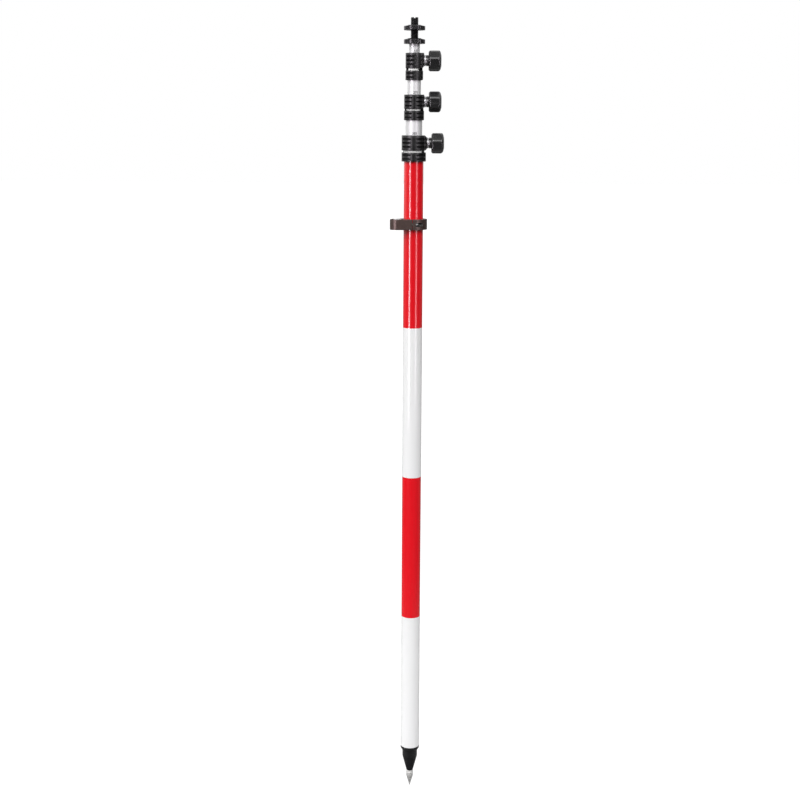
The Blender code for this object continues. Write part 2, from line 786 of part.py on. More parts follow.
def level_lens(parent):
    top = BRACKET_BOTTOM + BRACKET_HEIGHT
    radius = CASE_RADIUS - CASE_WALL - GAP
    bottom = top - LENS_THICKNESS
    profile = [*dome(radius, top, LENS_RISE), (radius, bottom), (0, bottom)]
    return place(at_pod("level_lens", profile), "lens", parent)


def level_screw(index, x, y, parent):
    flange_top = BRACKET_BOTTOM + BRACKET_HEIGHT - CASE_FLANGE_TOP
    seat = flange_top + GAP
    profile = [
        (0, seat + LEVEL_SCREW_HEAD),
        (LEVEL_SCREW_HEAD_RADIUS, seat + LEVEL_SCREW_HEAD),
        (LEVEL_SCREW_HEAD_RADIUS, seat),
        (LEVEL_SCREW_RADIUS, seat),
        (LEVEL_SCREW_RADIUS, flange_top - LEVEL_SCREW_LENGTH),
        (0, flange_top - LEVEL_SCREW_LENGTH),
    ]
    screw = turned(f"level_screw_{index + 1}", profile, TINY_STEPS)
    screw.location = (x, y, 0)
    return place(screw, "bright_steel", parent)


def level_bracket(parent):
    bracket_body(parent)
    bracket_screw(parent)
    level_case(parent)
    level_fill(parent)
    level_lens(parent)
    for index, (x, y) in enumerate(level_screw_places()):
        level_screw(index, x, y, parent)


# ---------------------------------------------------------------- assembly
def surveying_pole():
    base = frame("base_body")
    tip_holder(base)
    steel_point(base)
    section_tube(1, base)
    clamp(1, base)
    level_bracket(frame("level_body", base))
    carrier = base
    for number in (2, 3, 4):
        guide = frame(f"guide_{number}_body", carrier)
        guide_bush(number, guide)
        carrier = frame(f"section_{number}_body", guide)
        section_tube(number, carrier)
        if number < 4:
            clamp(number, carrier)
    head_flange(carrier)
    head_stud(carrier)
    lock_nut(frame("lock_nut_body", carrier))


clear_scene()
PARTS = make_collection(OBJECT_NAME)
CUTTERS = make_collection("cutters")
surveying_pole()
for piece in PARTS.objects:
    if piece.type == "MESH":
        shade_round(piece.data)
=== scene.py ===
"""The looks of a closed four-section surveying pole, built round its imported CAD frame.

The pole stands on its point at the origin with +Z up. The clamp knobs point along +X and the
level bracket reaches out along -X; the camera stands at -Y. Lengths are in metres.
"""

import math
from collections import namedtuple

import bmesh
import bpy
import numpy as np
from mathutils import Matrix, Vector


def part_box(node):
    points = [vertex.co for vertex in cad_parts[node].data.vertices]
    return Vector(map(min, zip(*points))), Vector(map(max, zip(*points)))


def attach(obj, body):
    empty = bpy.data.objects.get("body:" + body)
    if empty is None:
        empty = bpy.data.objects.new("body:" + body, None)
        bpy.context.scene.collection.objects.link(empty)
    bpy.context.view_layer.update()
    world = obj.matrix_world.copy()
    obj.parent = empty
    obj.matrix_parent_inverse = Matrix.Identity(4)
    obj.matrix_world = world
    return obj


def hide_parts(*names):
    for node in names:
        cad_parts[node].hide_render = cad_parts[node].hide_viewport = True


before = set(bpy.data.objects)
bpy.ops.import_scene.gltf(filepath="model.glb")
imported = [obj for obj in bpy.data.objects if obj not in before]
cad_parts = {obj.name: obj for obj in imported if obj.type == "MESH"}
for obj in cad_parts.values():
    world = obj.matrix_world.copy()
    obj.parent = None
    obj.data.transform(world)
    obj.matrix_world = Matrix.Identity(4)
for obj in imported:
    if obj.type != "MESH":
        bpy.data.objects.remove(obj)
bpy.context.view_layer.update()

# ---- dimensions the frame doesn't give
GAP = 0.0003  # clearance between pieces that lie against each other
OVER = 0.002  # how far a cutter reaches past what it cuts
TUBE_STEPS = 144  # facets round a tube
ROUND_STEPS = 96  # facets round a smaller turned piece
FINE_STEPS = 48
SUPPORT = 2.0  # how many roundings off a corner a flat gets a row of points
SIDE_SHARE = 0.49  # the most of a side that a corner's rounding may take

# The outer tube's paint: the heights where it changes colour, and how far it stops from its ends
PAINT_EDGES = (0.397, 0.708, 1.027)
PAINT_STOP = 0.0002
TUBE_EDGE = 0.0003  # rounding of a tube's ends

# Printed scale on the inner tubes: a number and a line every 50 mm, and a short tick every 10 mm
SCALE_STEP = 0.01
SCALE_NUMBER_EVERY = 5
SCALE_LENGTH = 1.1
SCALE_START = 0.0008  # the first line's height above the collar
SCALE_CENTRES = {2: 0.0012, 3: 0.003, 4: 0.0034}  # X of the numbers' middle
DIGIT_HEIGHT = 0.0046
DIGIT_RISE = 0.0012  # from a line up to its number
INK_THICKNESS = 0.00004
INK_ROOT = 0.0001  # how deep the print is rooted in the tube
INK_COLUMN = 0.0008  # widest facet of the print, so that it follows the tube
LINE_HEIGHT = 0.0004
LINE_HALVES = (0.0062, 0.0028)  # half the width of a numbered line and of a tick
FIRST_NUMBER = 165  # the highest section's first number, in centimetres
SECTION_NUMBERS = 110  # how much a number grows by from a section to the one below
NUMBER_STEP = 5
FONT_HEIGHT = 0.7  # a digit's height in a font of size 1
DIGIT_OFFSET = 0.00012  # how much bolder the digits are than the font
SCALE_HALF = 0.012  # how far to each side the print is cut into columns
SCALE_STOP = 0.004  # how far above its tube's lower end the scale stops

# Collars. lower and slit are heights, boss is half the boss's width, spine is where the front is
# left without grooves, in X, and the corners are how much is cut off the +X end.
Collar = namedtuple("Collar", "lower slit boss spine parting top_corner bottom_corner ring_corner")
COLLARS = {
    1: Collar(0.018, 0.004, 0.013, (-0.0045, 0.004), True, 0.0042, 0.0036, 0.0008),
    2: Collar(0.019, 0.0035, 0.012, (-0.0027, 0.0033), True, 0.0012, 0.0036, 0.0012),
    3: Collar(0.0186, 0.005, 0.0118, (0.0019, 0.0112), False, 0.001, 0.0036, 0.0015),
}
COLLAR_EDGE = 0.0007
BORE_EDGE = 0.001
OUTLINE_STEP = 0.0006  # spacing of the columns of points round a collar
OUTLINE_SMOOTHING = 10
POST_HALF = 0.005
POST_START = 0.0006  # from the collar's bore
POST_OVERLAP = 0.001  # how deep a post goes into the ring above and below it
POST_INSETS = {1: 0.0042, 2: 0.0013, 3: 0.0013}
GRIP_PITCH = 0.0078  # from one grip groove to the next
GRIP_HALF = 0.00175  # half of a groove's height at its mouth
GRIP_DEPTHS = (0.0021, 0.003)  # in a lower ring and in an upper ring
GRIP_SECTION = ((1.1, 0.0), (1.0, 0.12), (0.92, 0.9), (0.78, 1.0))  # shares of half and depth
GRIP_SIDES = (0.0012, 0.0006)  # where a groove ends short of the left and right sides
GRIP_RUNOUT = 0.005  # the length over which a groove fades out
SLIT_LIGHT_INSET = 0.0032  # how far inside a collar stands the pale sheet that paints light into its slit, in place of the lit tube seen through it
SLIT_LIGHT_GAP = 0.0001
SLIT_LIGHT_ENDS = {1: (-0.02, 0.0165), 2: (-0.0153, 0.0127), 3: (-0.012, 0.0083)}  # in X, the span where the slit's sheet is pale, painted light; dark beyond
PARTING_HALF = 0.0004
PARTING_DEPTH = 0.0014

# Clamp knobs, screws and bushings
KNOB_RIDGES = 7
KNOB_RIDGE_RADIUS = 0.021
KNOB_RIDGE_ROUNDING = 0.0092
KNOB_HOLLOW = 0.0003  # how far each flat sinks at its middle
KNOB_CHAMFER = 0.0024
KNOB_ROUNDING = 0.002
KNOB_END = (0.0064, 0.0075)  # how far the domed end reaches along the knob and in from its ridges
KNOB_DOME = 0.001
KNOB_FACE = (  # (radius, depth) points of the ring sunk in the knob's end
    (0.013, 0.0005), (0.0118, 0.0002), (0.0112, 0.0008),
    (0.0104, 0.0008), (0.0098, 0.0002), (0.005, 0.0),
)
KNOB_HUB = 0.005
KNOB_HUB_RADIUS = 0.0108
KNOB_BLIND_DEPTH = 0.018
BUSHING_SLEEVE_RADIUS = 0.0075
BUSHING_FLANGE = 0.0034
PAD_RADIUS = 0.0044
PAD_THICKNESS = 0.0024
KNOB_TURNS = {1: 11.0, 2: 26.0, 3: 8.5}  # degrees that the front ridge stands above the horizontal
SCREW_PITCH = 0.0015
SCREW_THREAD_DEPTH = 0.0007
THREAD_ROWS = 10  # rows of points in one pitch

# Head
HEAD_RIBS = 24
HEAD_RIB_STEPS = 12  # facets in one rib
HEAD_RIB_DEPTH = 0.0014
HEAD_RIB_CURVE = 0.7  # below 1, so that the valleys have steep sides
HUB_RADIUS = 0.0133
HEAD_CROWN = 0.0025
NUT_CROWN = 0.0022
STUD_PITCH = 0.0254 / 11
STUD_THREAD_DEPTH = 0.0012
STUD_SLOT = 0.003
STUD_SLOT_DEPTH = 0.0019
STUD_PLAIN = 0.004  # the thread starts this far below the flange's top

# Point and holder, as heights above the ground
POINT_CONE = 0.0245
POINT_SHOULDER = 0.0367
POINT_SHANK_RADIUS = 0.005
HOLDER_END_RADIUS = 0.0061
HOLDER_WAIST_RADIUS = 0.01615
HOLDER_WAIST = (0.072, 0.085)
HOLDER_LIP = (0.0915, 0.096)
HOLDER_WALL = 0.004

# Level bracket
BRACKET_POD_RADIUS = 0.0158
BRACKET_EDGE = 0.0007
SPLIT_X = -0.002
SPLIT = 0.0009
BRACKET_SCREW_RADIUS = 0.0024
BRACKET_HEAD = 0.0045
BRACKET_SOCKET = 0.0022
SOCKET_DEPTH = 0.0025
POCKET_RADIUS = 0.0136
POCKET_DEPTH = 0.013
POCKET_CHAMFER = 0.0012
CASE_WALL = 0.0008
CASE_FLANGE = 0.0016
BUBBLE_RADIUS = 0.0028
BUBBLE_DEPTH = 0.0007
CENTRE_RING = (0.0035, 0.0041)  # inner and outer radius of the printed ring
CENTRE_RING_HEIGHTS = (0.00015, 0.0003)  # above the lens's lower face
LEVEL_SCREW_HEAD = 0.0012
LEVEL_SHANK = 0.0011 / 0.0018  # a level screw's shank to its head
CROSS_REACH = 0.62  # a cross recess's arm to its screw's radius
CROSS_HALF = 0.0002
CROSS_DEPTH = 0.0006

# Studio. A brightness range goes from the dim end of its direction to the bright end, and its
# blend says where on that direction, from -1 to 1, it starts and ends.
FLOOR_CORNERS = ((-14, -6, -0.02), (14, 30, 0.0))
FLOOR_GLOW = 0.92
# The floor's tones, seen only in what it throws back onto the pole: painted light, lighter near the
# pole's foot, at its sides and behind it.
FLOOR_FAR = (0.055, 0.055, 0.055)
FLOOR_BACK_LIGHT = (0.12, 0.12, 0.12)
FLOOR_BACK_START = (-0.1, 1.2)  # in Y
FLOOR_NEAR_LIGHT_POOL = (0.09, 0.09, 0.09)
FLOOR_NEAR_END = (0.7, 1.5)  # distance from the pole
FLOOR_SIDE_LIGHT_POOL = (0.3, 0.3, 0.3)
FLOOR_SIDES_START = (0.03**2, 0.18**2)  # square of X
HORIZON_DIRECTION = (-0.5, 1.0, 0.0)
HORIZON_BLEND = (-0.1, 1.0)
HORIZON_RANGE = (0.08, 1.35)
OVERHEAD_DIRECTION = (-0.6, -1.0, 0.0)
OVERHEAD_BLEND = (-0.6, 0.7)
OVERHEAD_RANGE = (0.46, 3.82)
OVERHEAD_START = (0.22, 0.38)  # sine of the elevation where the overhead light begins and is full
OVERHEAD_END = (0.74, 0.88)  # and where it gives way to the dimmer zenith
ZENITH_BLEND = (-0.3, 0.3)
ZENITH_RANGE = (0.3, 2.0)  # in front of the pole and behind it
LIGHTS = (  # name, bearing from the pole's front in degrees, distance, width, power
    ("left_strip", -42.2, 1.0, 0.085, 18.0),
    ("right_strip", 37.8, 1.0, 0.15, 7.2),
)
STRIP_SPAN = (0.65, 2.3)  # heights
STRIP_COLOUR = (1.0, 0.92, 1.0)

# Camera, with its angles in degrees
CAMERA_PLACE = (-0.0254, -2.88, 1.449)
CAMERA_PITCH = 11.32  # below the horizontal
CAMERA_ROLL = 0.29
CAMERA_LENS = 62.9
CAMERA_SENSOR = 36.0


# ---- mesh helpers
def piece_from(name, mesh, sharp=32):
    """A new object whose faces point out and whose round faces are shaded smooth."""
    bm = bmesh.new()
    bm.from_mesh(mesh)
    bmesh.ops.recalc_face_normals(bm, faces=bm.faces)
    bm.to_mesh(mesh)
    bm.free()
    mesh.shade_smooth()
    mesh.set_sharp_from_angle(angle=math.radians(sharp))
    return placed(name, mesh)


def placed(name, data):
    obj = bpy.data.objects.new(name, data)
    bpy.context.scene.collection.objects.link(obj)
    return obj


def solid(name, points, faces, sharp=32):
    mesh = bpy.data.meshes.new(name)
    mesh.from_pydata(points, [], faces)
    return piece_from(name, mesh, sharp)


def skin(name, columns, on_axis=False, sharp=32):
    """A closed piece over columns of points that stand round an axis. Each column is one closed
    loop, or, with on_axis, a line whose two ends are on the axis."""
    columns = np.asarray(columns, float)
    poles = columns[0, [0, -1]].tolist()
    if on_axis:
        columns = columns[:, 1:-1]
    count, rows = columns.shape[:2]
    points = columns.reshape(-1, 3).tolist()
    faces = []
    for index in range(count):
        here, there = index * rows, (index + 1) % count * rows
        for row in range(rows - 1 if on_axis else rows):
            after = (row + 1) % rows
            faces.append((here + row, here + after, there + after, there + row))
        if on_axis:
            faces.append((here, there, len(points)))
            faces.append((here + rows - 1, there + rows - 1, len(points) + 1))
    return solid(name, points + poles if on_axis else points, faces, sharp)


def softened(corners, closed=False, segments=4):
    """A profile's (radius, height) points, with an arc at each corner whose third value is a
    rounding, and a point beside the arc that keeps the flat's shading flat."""
    points = []
    count = len(corners)
    for index, (x, y, *rounding) in enumerate(corners):
        if not rounding or index in (0, count - 1) and not closed:
            points.append((x, y))
            continue
        corner = Vector((x, y))
        before = Vector(corners[index - 1][:2]) - corner
        after = Vector(corners[(index + 1) % count][:2]) - corner
        half = before.angle(after) / 2
        room = [side.length * SIDE_SHARE for side in (before, after)]
        reach = min(rounding[0] / math.tan(half), *room)
        radius = reach * math.tan(half)
        back, ahead = before.normalized(), after.normalized()
        middle = corner + (back + ahead).normalized() * radius / math.sin(half)
        first = corner + back * reach - middle
        turn = first.angle_signed(corner + ahead * reach - middle)
        if room[0] > reach * SUPPORT:
            points.append(tuple(corner + back * reach * SUPPORT))
        for step in range(segments + 1):
            spoke = first.copy()
            spoke.rotate(Matrix.Rotation(-turn * step / segments, 2))
            points.append(tuple(middle + spoke))
        if room[1] > reach * SUPPORT:
            points.append(tuple(corner + ahead * reach * SUPPORT))
    return points


def at_angle(profile, angle):
    """A profile's (radius, height) points, turned to an angle round Z."""
    return [(r * math.cos(angle), r * math.sin(angle), h) for r, h in profile]


def quarter_turn(steps, first=1):
    """The sine and cosine of even steps up to a right angle."""
    turns = [math.pi / 2 * step / steps for step in range(first, steps + 1)]
    return [(math.sin(turn), math.cos(turn)) for turn in turns]


def turned(name, corners, steps=ROUND_STEPS, segments=4):
    """A piece turned about Z. A profile that starts on the axis is solid, any other is a ring."""
    on_axis = corners[0][0] == 0
    profile = softened(corners, closed=not on_axis, segments=segments)
    columns = [at_angle(profile, 2 * math.pi * index / steps) for index in range(steps)]
    return skin(name, columns, on_axis)


def moved(obj, location=(0, 0, 0), along_x=False):
    """Puts a piece made round Z in its place, with its Z along X where along_x says so."""
    turn = Matrix.Rotation(math.radians(90), 4, "Y") if along_x else Matrix.Identity(4)
    obj.data.transform(Matrix.Translation(location) @ turn)
    return obj


def prism(name, outline, bottom, top, edge=0.0, segments=3):
    """A flat outline with thickness, whose top and bottom edges are rounded by edge."""
    outline = np.array(outline, float)
    inward = inward_normals(outline)
    rows = [(edge * (1 - s), bottom + edge * (1 - c)) for s, c in quarter_turn(segments, 0)]
    rows.append((0, bottom + edge * SUPPORT))
    rows += [(inset, bottom + top - height) for inset, height in reversed(rows)]
    if edge == 0:
        rows = [(0, bottom), (0, top)]
    count = len(outline)
    points = [(x, y, height) for inset, height in rows for x, y in outline + inward * inset]
    faces = [tuple(range(count)), tuple(range(len(points) - count, len(points)))]
    for row in range(len(rows) - 1):
        for index in range(count):
            here, there = row * count + index, row * count + (index + 1) % count
            faces.append((here, there, there + count, here + count))
    return solid(name, points, faces)


def inward_normals(outline):
    """Unit normals that point inside a counter-clockwise outline."""
    along = np.roll(outline, -1, axis=0) - np.roll(outline, 1, axis=0)
    along /= np.linalg.norm(along, axis=1)[:, None]
    return np.stack([-along[:, 1], along[:, 0]], axis=1)


def resampled(outline, spacing):
    """A closed outline with points at an even spacing, counted from its first point."""
    closed = np.vstack([outline, outline[:1]])
    lengths = np.concatenate([[0], np.cumsum(np.linalg.norm(np.diff(closed, axis=0), axis=1))])
    count = int(round(lengths[-1] / spacing))
    places = np.linspace(0, lengths[-1], count, endpoint=False)
    return np.stack([np.interp(places, lengths, closed[:, axis]) for axis in (0, 1)], axis=1)


def relaxed(outline, rounds):
    """A closed outline with its corners eased."""
    for _ in range(rounds):
        outline = (np.roll(outline, 1, axis=0) + 2 * outline + np.roll(outline, -1, axis=0)) / 4
    return outline


def joined(name, pieces, sharp):
    """Several closed shells as one piece."""
    bm = bmesh.new()
    for obj in pieces:
        bm.from_mesh(obj.data)
    mesh = bpy.data.meshes.new(name)
    bm.to_mesh(mesh)
    bm.free()
    for obj in pieces:
        bpy.data.objects.remove(obj, do_unlink=True)
    return piece_from(name, mesh, sharp)


def carved(obj, cutters, sharp=32):
    """Takes the cutters out of a piece, and removes them."""
    for cutter in cutters:
        modifier = obj.modifiers.new(cutter.name, "BOOLEAN")
        modifier.operation = "DIFFERENCE"
        modifier.solver = "EXACT"
        modifier.object = cutter
    graph = bpy.context.evaluated_depsgraph_get()
    mesh = bpy.data.meshes.new_from_object(obj.evaluated_get(graph))
    name = obj.name
    for done in (obj, *cutters):
        bpy.data.objects.remove(done, do_unlink=True)
    mesh.name = name
    return piece_from(name, mesh, sharp)


def rod(name, radius, start, end, flare=0.0):
    """A plain cylinder about Z; flare widens its last bit, to leave a chamfer where it cuts."""
    corners = [(0, end), (radius + flare, end), (radius, end - flare), (radius, start), (0, start)]
    if flare == 0:
        corners.pop(2)
    return turned(name, corners, FINE_STEPS)


def rod_along_x(name, radius, start, end, y, z):
    return moved(rod(name, radius, start, end), (0, y, z), along_x=True)


def block(name, low, high):
    (x0, y0, z0), (x1, y1, z1) = low, high
    return prism(name, [(x0, y0), (x1, y0), (x1, y1), (x0, y1)], z0, z1)


def threaded(name, radius, depth, pitch, start, end, steps=FINE_STEPS, plain_below=-1.0):
    """A rod about Z with a vee thread whose first and last turns fade into a chamfer."""
    rows = int(round((end - start) / pitch * THREAD_ROWS))
    heights = np.linspace(start, end, rows + 1)
    columns = []
    for index in range(steps):
        turn = index / steps
        phase = (heights / pitch - turn) % 1.0
        cut = depth * np.clip(1.25 * (1 - np.abs(2 * phase - 1)) - 0.12, 0, 1)
        radii = radius - cut
        from_end = np.minimum(heights - start, end - heights)
        radii = np.minimum(radii, radius - depth + from_end * 0.8)
        radii = np.where(heights < plain_below, radius - depth, radii)
        side = at_angle(zip(radii, heights), 2 * math.pi * turn)
        columns.append([(0, 0, start), *side, (0, 0, end)])
    return skin(name, columns, on_axis=True, sharp=50)


def axis_radii(node):
    """The smallest and the largest distance of a CAD node's points from the pole's axis."""
    points = np.array([vertex.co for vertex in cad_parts[node].data.vertices])
    reach = np.hypot(points[:, 0], points[:, 1])
    return reach.min(), reach.max()


def centre_of(node, axis=2):
    low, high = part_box(node)
    return (low[axis] + high[axis]) / 2


def half_of(node, axis=2):
    """Half of a CAD node's size along an axis."""
    low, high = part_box(node)
    return (high[axis] - low[axis]) / 2


def tube_node(number):
    return "outer_tube" if number == 1 else f"section_{number}_tube"


def add(obj, body, slot, finish, *replaced):
    """Gives a piece its body, its finish and the CAD nodes it stands for. The slot is not used."""
    if not obj.data.materials:
        obj.data.materials.append(finish)
    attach(obj, body)
    if replaced:
        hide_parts(*replaced)
    return obj


# ---- finishes
def shader_node(tree, kind, inputs, output, **settings):
    """Adds a node and returns one of its outputs. Each input is a value, or an output to link."""
    node = tree.nodes.new("ShaderNode" + kind)
    for name, value in settings.items():
        setattr(node, name, value)
    for socket, value in inputs.items():
        if isinstance(value, bpy.types.NodeSocket):
            tree.links.new(value, node.inputs[socket])
        else:
            node.inputs[socket].default_value = value
    return node.outputs[output]


def map_range(tree, value, limits, blend="LINEAR"):
    inputs = dict(zip(("From Min", "From Max", "To Min", "To Max"), limits), Value=value)
    return shader_node(tree, "MapRange", inputs, "Result", interpolation_type=blend)


class Finish:
    """A procedural material while it is being put together."""

    def __init__(self, name, colour, roughness, metallic=0.0, **direct):
        self.material = bpy.data.materials.new(name)
        self.material.use_nodes = True
        self.material.diffuse_color = (*colour, 1.0)
        self.tree = self.material.node_tree
        self.shader = self.tree.nodes["Principled BSDF"]
        direct.update(Base_Color=(*colour, 1.0), Roughness=roughness, Metallic=metallic)
        for socket, value in direct.items():
            self.shader.inputs[socket.replace("_", " ")].default_value = value
        self.place = shader_node(self.tree, "TexCoord", {}, "Object")

    def stretched(self, scale):
        inputs = {"Scale": scale, "Vector": self.place}
        return shader_node(self.tree, "Mapping", inputs, "Vector")

    def noise(self, scale, detail=3.0, stretch=(1, 1, 1), rough=0.55):
        inputs = {"Scale": scale, "Detail": detail, "Roughness": rough}
        inputs["Vector"] = self.stretched(stretch)
        return shader_node(self.tree, "TexNoise", inputs, "Fac")

    def speckle(self, scale):
        inputs = {"Scale": scale, "Vector": self.stretched((1, 1, 1))}
        return shader_node(self.tree, "TexVoronoi", inputs, "Distance")

    def ranged(self, value, *limits):
        return map_range(self.tree, value, limits)

    def times(self, one, other):
        inputs = {0: one, 1: other}
        return shader_node(self.tree, "Math", inputs, "Value", operation="MULTIPLY")

    def tinted(self, colour, share, *limits):
        """Mixes a colour into what the base colour is so far, by share, which limits may map."""
        share = self.ranged(share, *limits) if limits else share
        base = self.shader.inputs["Base Color"]
        so_far = base.links[0].from_socket if base.is_linked else base.default_value
        inputs = {"A": so_far, "B": (*colour, 1.0), "Factor": share}
        mix = shader_node(self.tree, "Mix", inputs, "Result", data_type="RGBA")
        self.tree.links.new(mix, base)

    def roughened(self, value, *limits):
        self.tree.links.new(self.ranged(value, *limits), self.shader.inputs["Roughness"])

    def bumped(self, height, strength, distance=0.0002):
        normal = self.shader.inputs["Normal"]
        inputs = {"Strength": strength, "Distance": distance, "Height": height}
        if normal.is_linked:
            inputs["Normal"] = normal.links[0].from_socket
        self.tree.links.new(shader_node(self.tree, "Bump", inputs, "Normal"), normal)


def paint(name, colour, shade, dust):
    """Gloss enamel: a little orange peel, faint handling marks and small chips of dust."""
    finish = Finish(name, colour, 0.22, Coat_Weight=0.15, Coat_Roughness=0.08)
    finish.tinted(shade, finish.noise(9, 4), 0.45, 0.75, 0.0, 0.3)
    finish.tinted(dust, finish.speckle(620), 0.0, 0.09, 0.45, 0.0)
    marks = finish.noise(70, 5, (1, 1, 0.05))
    finish.roughened(marks, 0.35, 0.75, 0.18, 0.27)
    finish.bumped(finish.noise(900, 2), 0.006)
    finish.bumped(marks, 0.003)
    return finish.material


def drawn_metal(name, colour, roughness, metallic, shade, lines=(600, 600, 4), relief=0.06):
    """Metal with fine lines from drawing or turning; lines says how tightly they lie in X, Y, Z."""
    finish = Finish(name, colour, roughness, metallic)
    grain = finish.noise(1.0, 4, lines, 0.6)
    finish.tinted(shade, grain, 0.35, 0.75, 0.0, 0.35)
    finish.tinted(shade, finish.noise(30, 4), 0.5, 0.8, 0.0, 0.15)
    finish.roughened(grain, 0.3, 0.7, roughness * 0.8, roughness * 1.3)
    finish.bumped(grain, relief, 0.0001)
    return finish.material


def moulded(name, colour, roughness, worn, shine=0.5):
    """Plastic out of a fine-textured mould, a little rubbed and dusty."""
    finish = Finish(name, colour, roughness, Specular_IOR_Level=shine)
    finish.tinted(worn, finish.noise(45, 5), 0.5, 0.8, 0.0, 0.3)
    finish.tinted(worn, finish.speckle(500), 0.0, 0.06, 0.1, 0.0)
    rubbed = finish.noise(60, 3)
    finish.roughened(rubbed, 0.3, 0.7, roughness * 0.92, roughness * 1.12)
    finish.bumped(finish.noise(2600, 1), 0.012)
    return finish.material


def black_metal(name, colour, roughness, worn):
    """Blackened metal with fine turning lines and slightly rubbed spots."""
    finish = Finish(name, colour, roughness, 0.35)
    grain = finish.noise(1.0, 4, (120, 120, 2600), 0.6)
    finish.tinted(worn, finish.noise(160, 5), 0.52, 0.75, 0.0, 0.6)
    finish.roughened(grain, 0.3, 0.7, roughness * 0.85, roughness * 1.2)
    finish.bumped(grain, 0.12, 0.0001)
    return finish.material


def clear_finish(name, colour, roughness, refraction):
    finish = Finish(name, colour, roughness, Transmission_Weight=1.0, IOR=refraction)
    finish.roughened(finish.noise(200, 3), 0.3, 0.7, roughness, roughness * 2)
    return finish.material


TURNED = (300, 300, 2600)
TURNED_ABOUT_X = (2600, 300, 300)
RED = paint("red_enamel", (0.75, 0.0012, 0.0085), (0.66, 0.0008, 0.007), (0.72, 0.08, 0.08))
WHITE = paint("white_enamel", (0.84, 0.84, 0.845), (0.8, 0.797, 0.79), (0.55, 0.54, 0.52))
SILVER = drawn_metal(
    "drawn_silver", (0.63, 0.63, 0.635), 0.46, 0.28, (0.6, 0.6, 0.605), (900, 900, 3), 0.006
)
STEEL = drawn_metal("turned_steel", (0.44, 0.44, 0.45), 0.34, 1.0, (0.36, 0.36, 0.37), TURNED)
POINT_STEEL = drawn_metal(
    "point_steel", (0.84, 0.835, 0.82), 0.4, 0.7, (0.64, 0.63, 0.61), (300, 300, 3200)
)
BRASS = drawn_metal("pad_brass", (0.7, 0.5, 0.22), 0.34, 1.0, (0.45, 0.3, 0.12), TURNED_ABOUT_X)
BRONZE = drawn_metal(
    "bronze_anodising", (0.06, 0.036, 0.03), 0.4, 0.5, (0.044, 0.028, 0.024), (40, 40, 1400)
)
# Darker bronze for the clamp screw's recess and the split: painted shade.
BRONZE_RECESS_SHADE = drawn_metal(
    "bronze_anodising_painted_recess_shade", (0.016, 0.014, 0.01), 0.6, 0.2, (0.01, 0.009, 0.007)
)
DARK_STEEL = drawn_metal(
    "dark_steel", (0.13, 0.13, 0.13), 0.34, 1.0, (0.08, 0.08, 0.08), TURNED_ABOUT_X
)
# Darker plastic for the faces deep in the grip grooves and the parting slot: painted shade.
GROOVE_SHADE = moulded(
    "collar_plastic_painted_groove_shade", (0.003, 0.003, 0.0033), 0.7, (0.006, 0.006, 0.006), 0.1
)
PLASTIC = moulded("collar_plastic", (0.0068, 0.0068, 0.0072), 0.36, (0.015, 0.015, 0.016), 0.33)
KNOB = moulded("knob_plastic", (0.007, 0.007, 0.0074), 0.25, (0.015, 0.015, 0.016), 0.68)
BLACK_ALLOY = black_metal("black_anodising", (0.0115, 0.0115, 0.0125), 0.28, (0.028, 0.028, 0.03))
BLACK_STEEL = black_metal("blackened_steel", (0.008, 0.008, 0.0085), 0.38, (0.04, 0.04, 0.042))
INK = moulded("scale_ink", (0.01, 0.01, 0.012), 0.5, (0.03, 0.03, 0.03))
# Pale nylon of the guide bushes, also used as painted light on the sheet in the collars' slits.
NYLON_AND_SLIT_LIGHT = moulded("bush_nylon_and_slit_light", (0.86, 0.86, 0.85), 0.5, (0.72, 0.72, 0.7))
LENS = clear_finish("acrylic_lens", (0.93, 0.96, 0.97), 0.03, 1.49)
LIQUID = clear_finish("level_spirit", (0.62, 0.8, 0.2), 0.02, 1.36)


# ---- tubes and their printed scales
def tube(number):
    """A section's tube, and its outer radius and its two ends, from its CAD node."""
    node = tube_node(number)
    low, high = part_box(node)
    inner, outer = axis_radii(node)
    corners = [
        (inner, low.z), (outer, low.z, TUBE_EDGE),
        *((outer, height) for height in (PAINT_EDGES if number == 1 else ())),
        (outer, high.z, TUBE_EDGE), (inner, high.z),
    ]
    return node, turned(f"tube_{number}", corners, TUBE_STEPS, 2), outer, low.z, high.z


def painted_tube():
    node, obj, outer, low, high = tube(1)
    for finish in (SILVER, WHITE, RED):
        obj.data.materials.append(finish)
    for face in obj.data.polygons:
        x, y, z = face.center
        if math.hypot(x, y) > outer - PAINT_STOP and low + PAINT_STOP < z < high - PAINT_STOP:
            face.material_index = 1 + sum(z > edge for edge in PAINT_EDGES) % 2
    add(obj, "base", "painted_tube", SILVER, node)


def printed_marks(number, first_height, lowest):
    """Flat outlines of a section's scale, as one mesh whose Y is the height up the tube."""
    bm = bmesh.new()
    middle = SCALE_CENTRES[number]
    left = middle - LINE_HALVES[0]
    first_number = FIRST_NUMBER + SECTION_NUMBERS * (4 - number)
    for step in range(int(SCALE_LENGTH / SCALE_STEP)):
        height = first_height - step * SCALE_STEP
        if height < lowest:
            break
        numbered = step % SCALE_NUMBER_EVERY == 0
        right = left + 2 * LINE_HALVES[0 if numbered else 1]
        corners = [(left, -0.5), (right, -0.5), (right, 0.5), (left, 0.5)]
        root, face = [
            [bm.verts.new((x, height + y * LINE_HEIGHT, level)) for x, y in corners]
            for level in (0, 1)
        ]
        bm.faces.new(root)
        bm.faces.new(face)
        for index in range(4):
            after = (index + 1) % 4
            bm.faces.new((root[index], root[after], face[after], face[index]))
        if numbered:
            label = first_number + step // SCALE_NUMBER_EVERY * NUMBER_STEP
            add_label(bm, str(label), middle, height + DIGIT_RISE)
    return bm


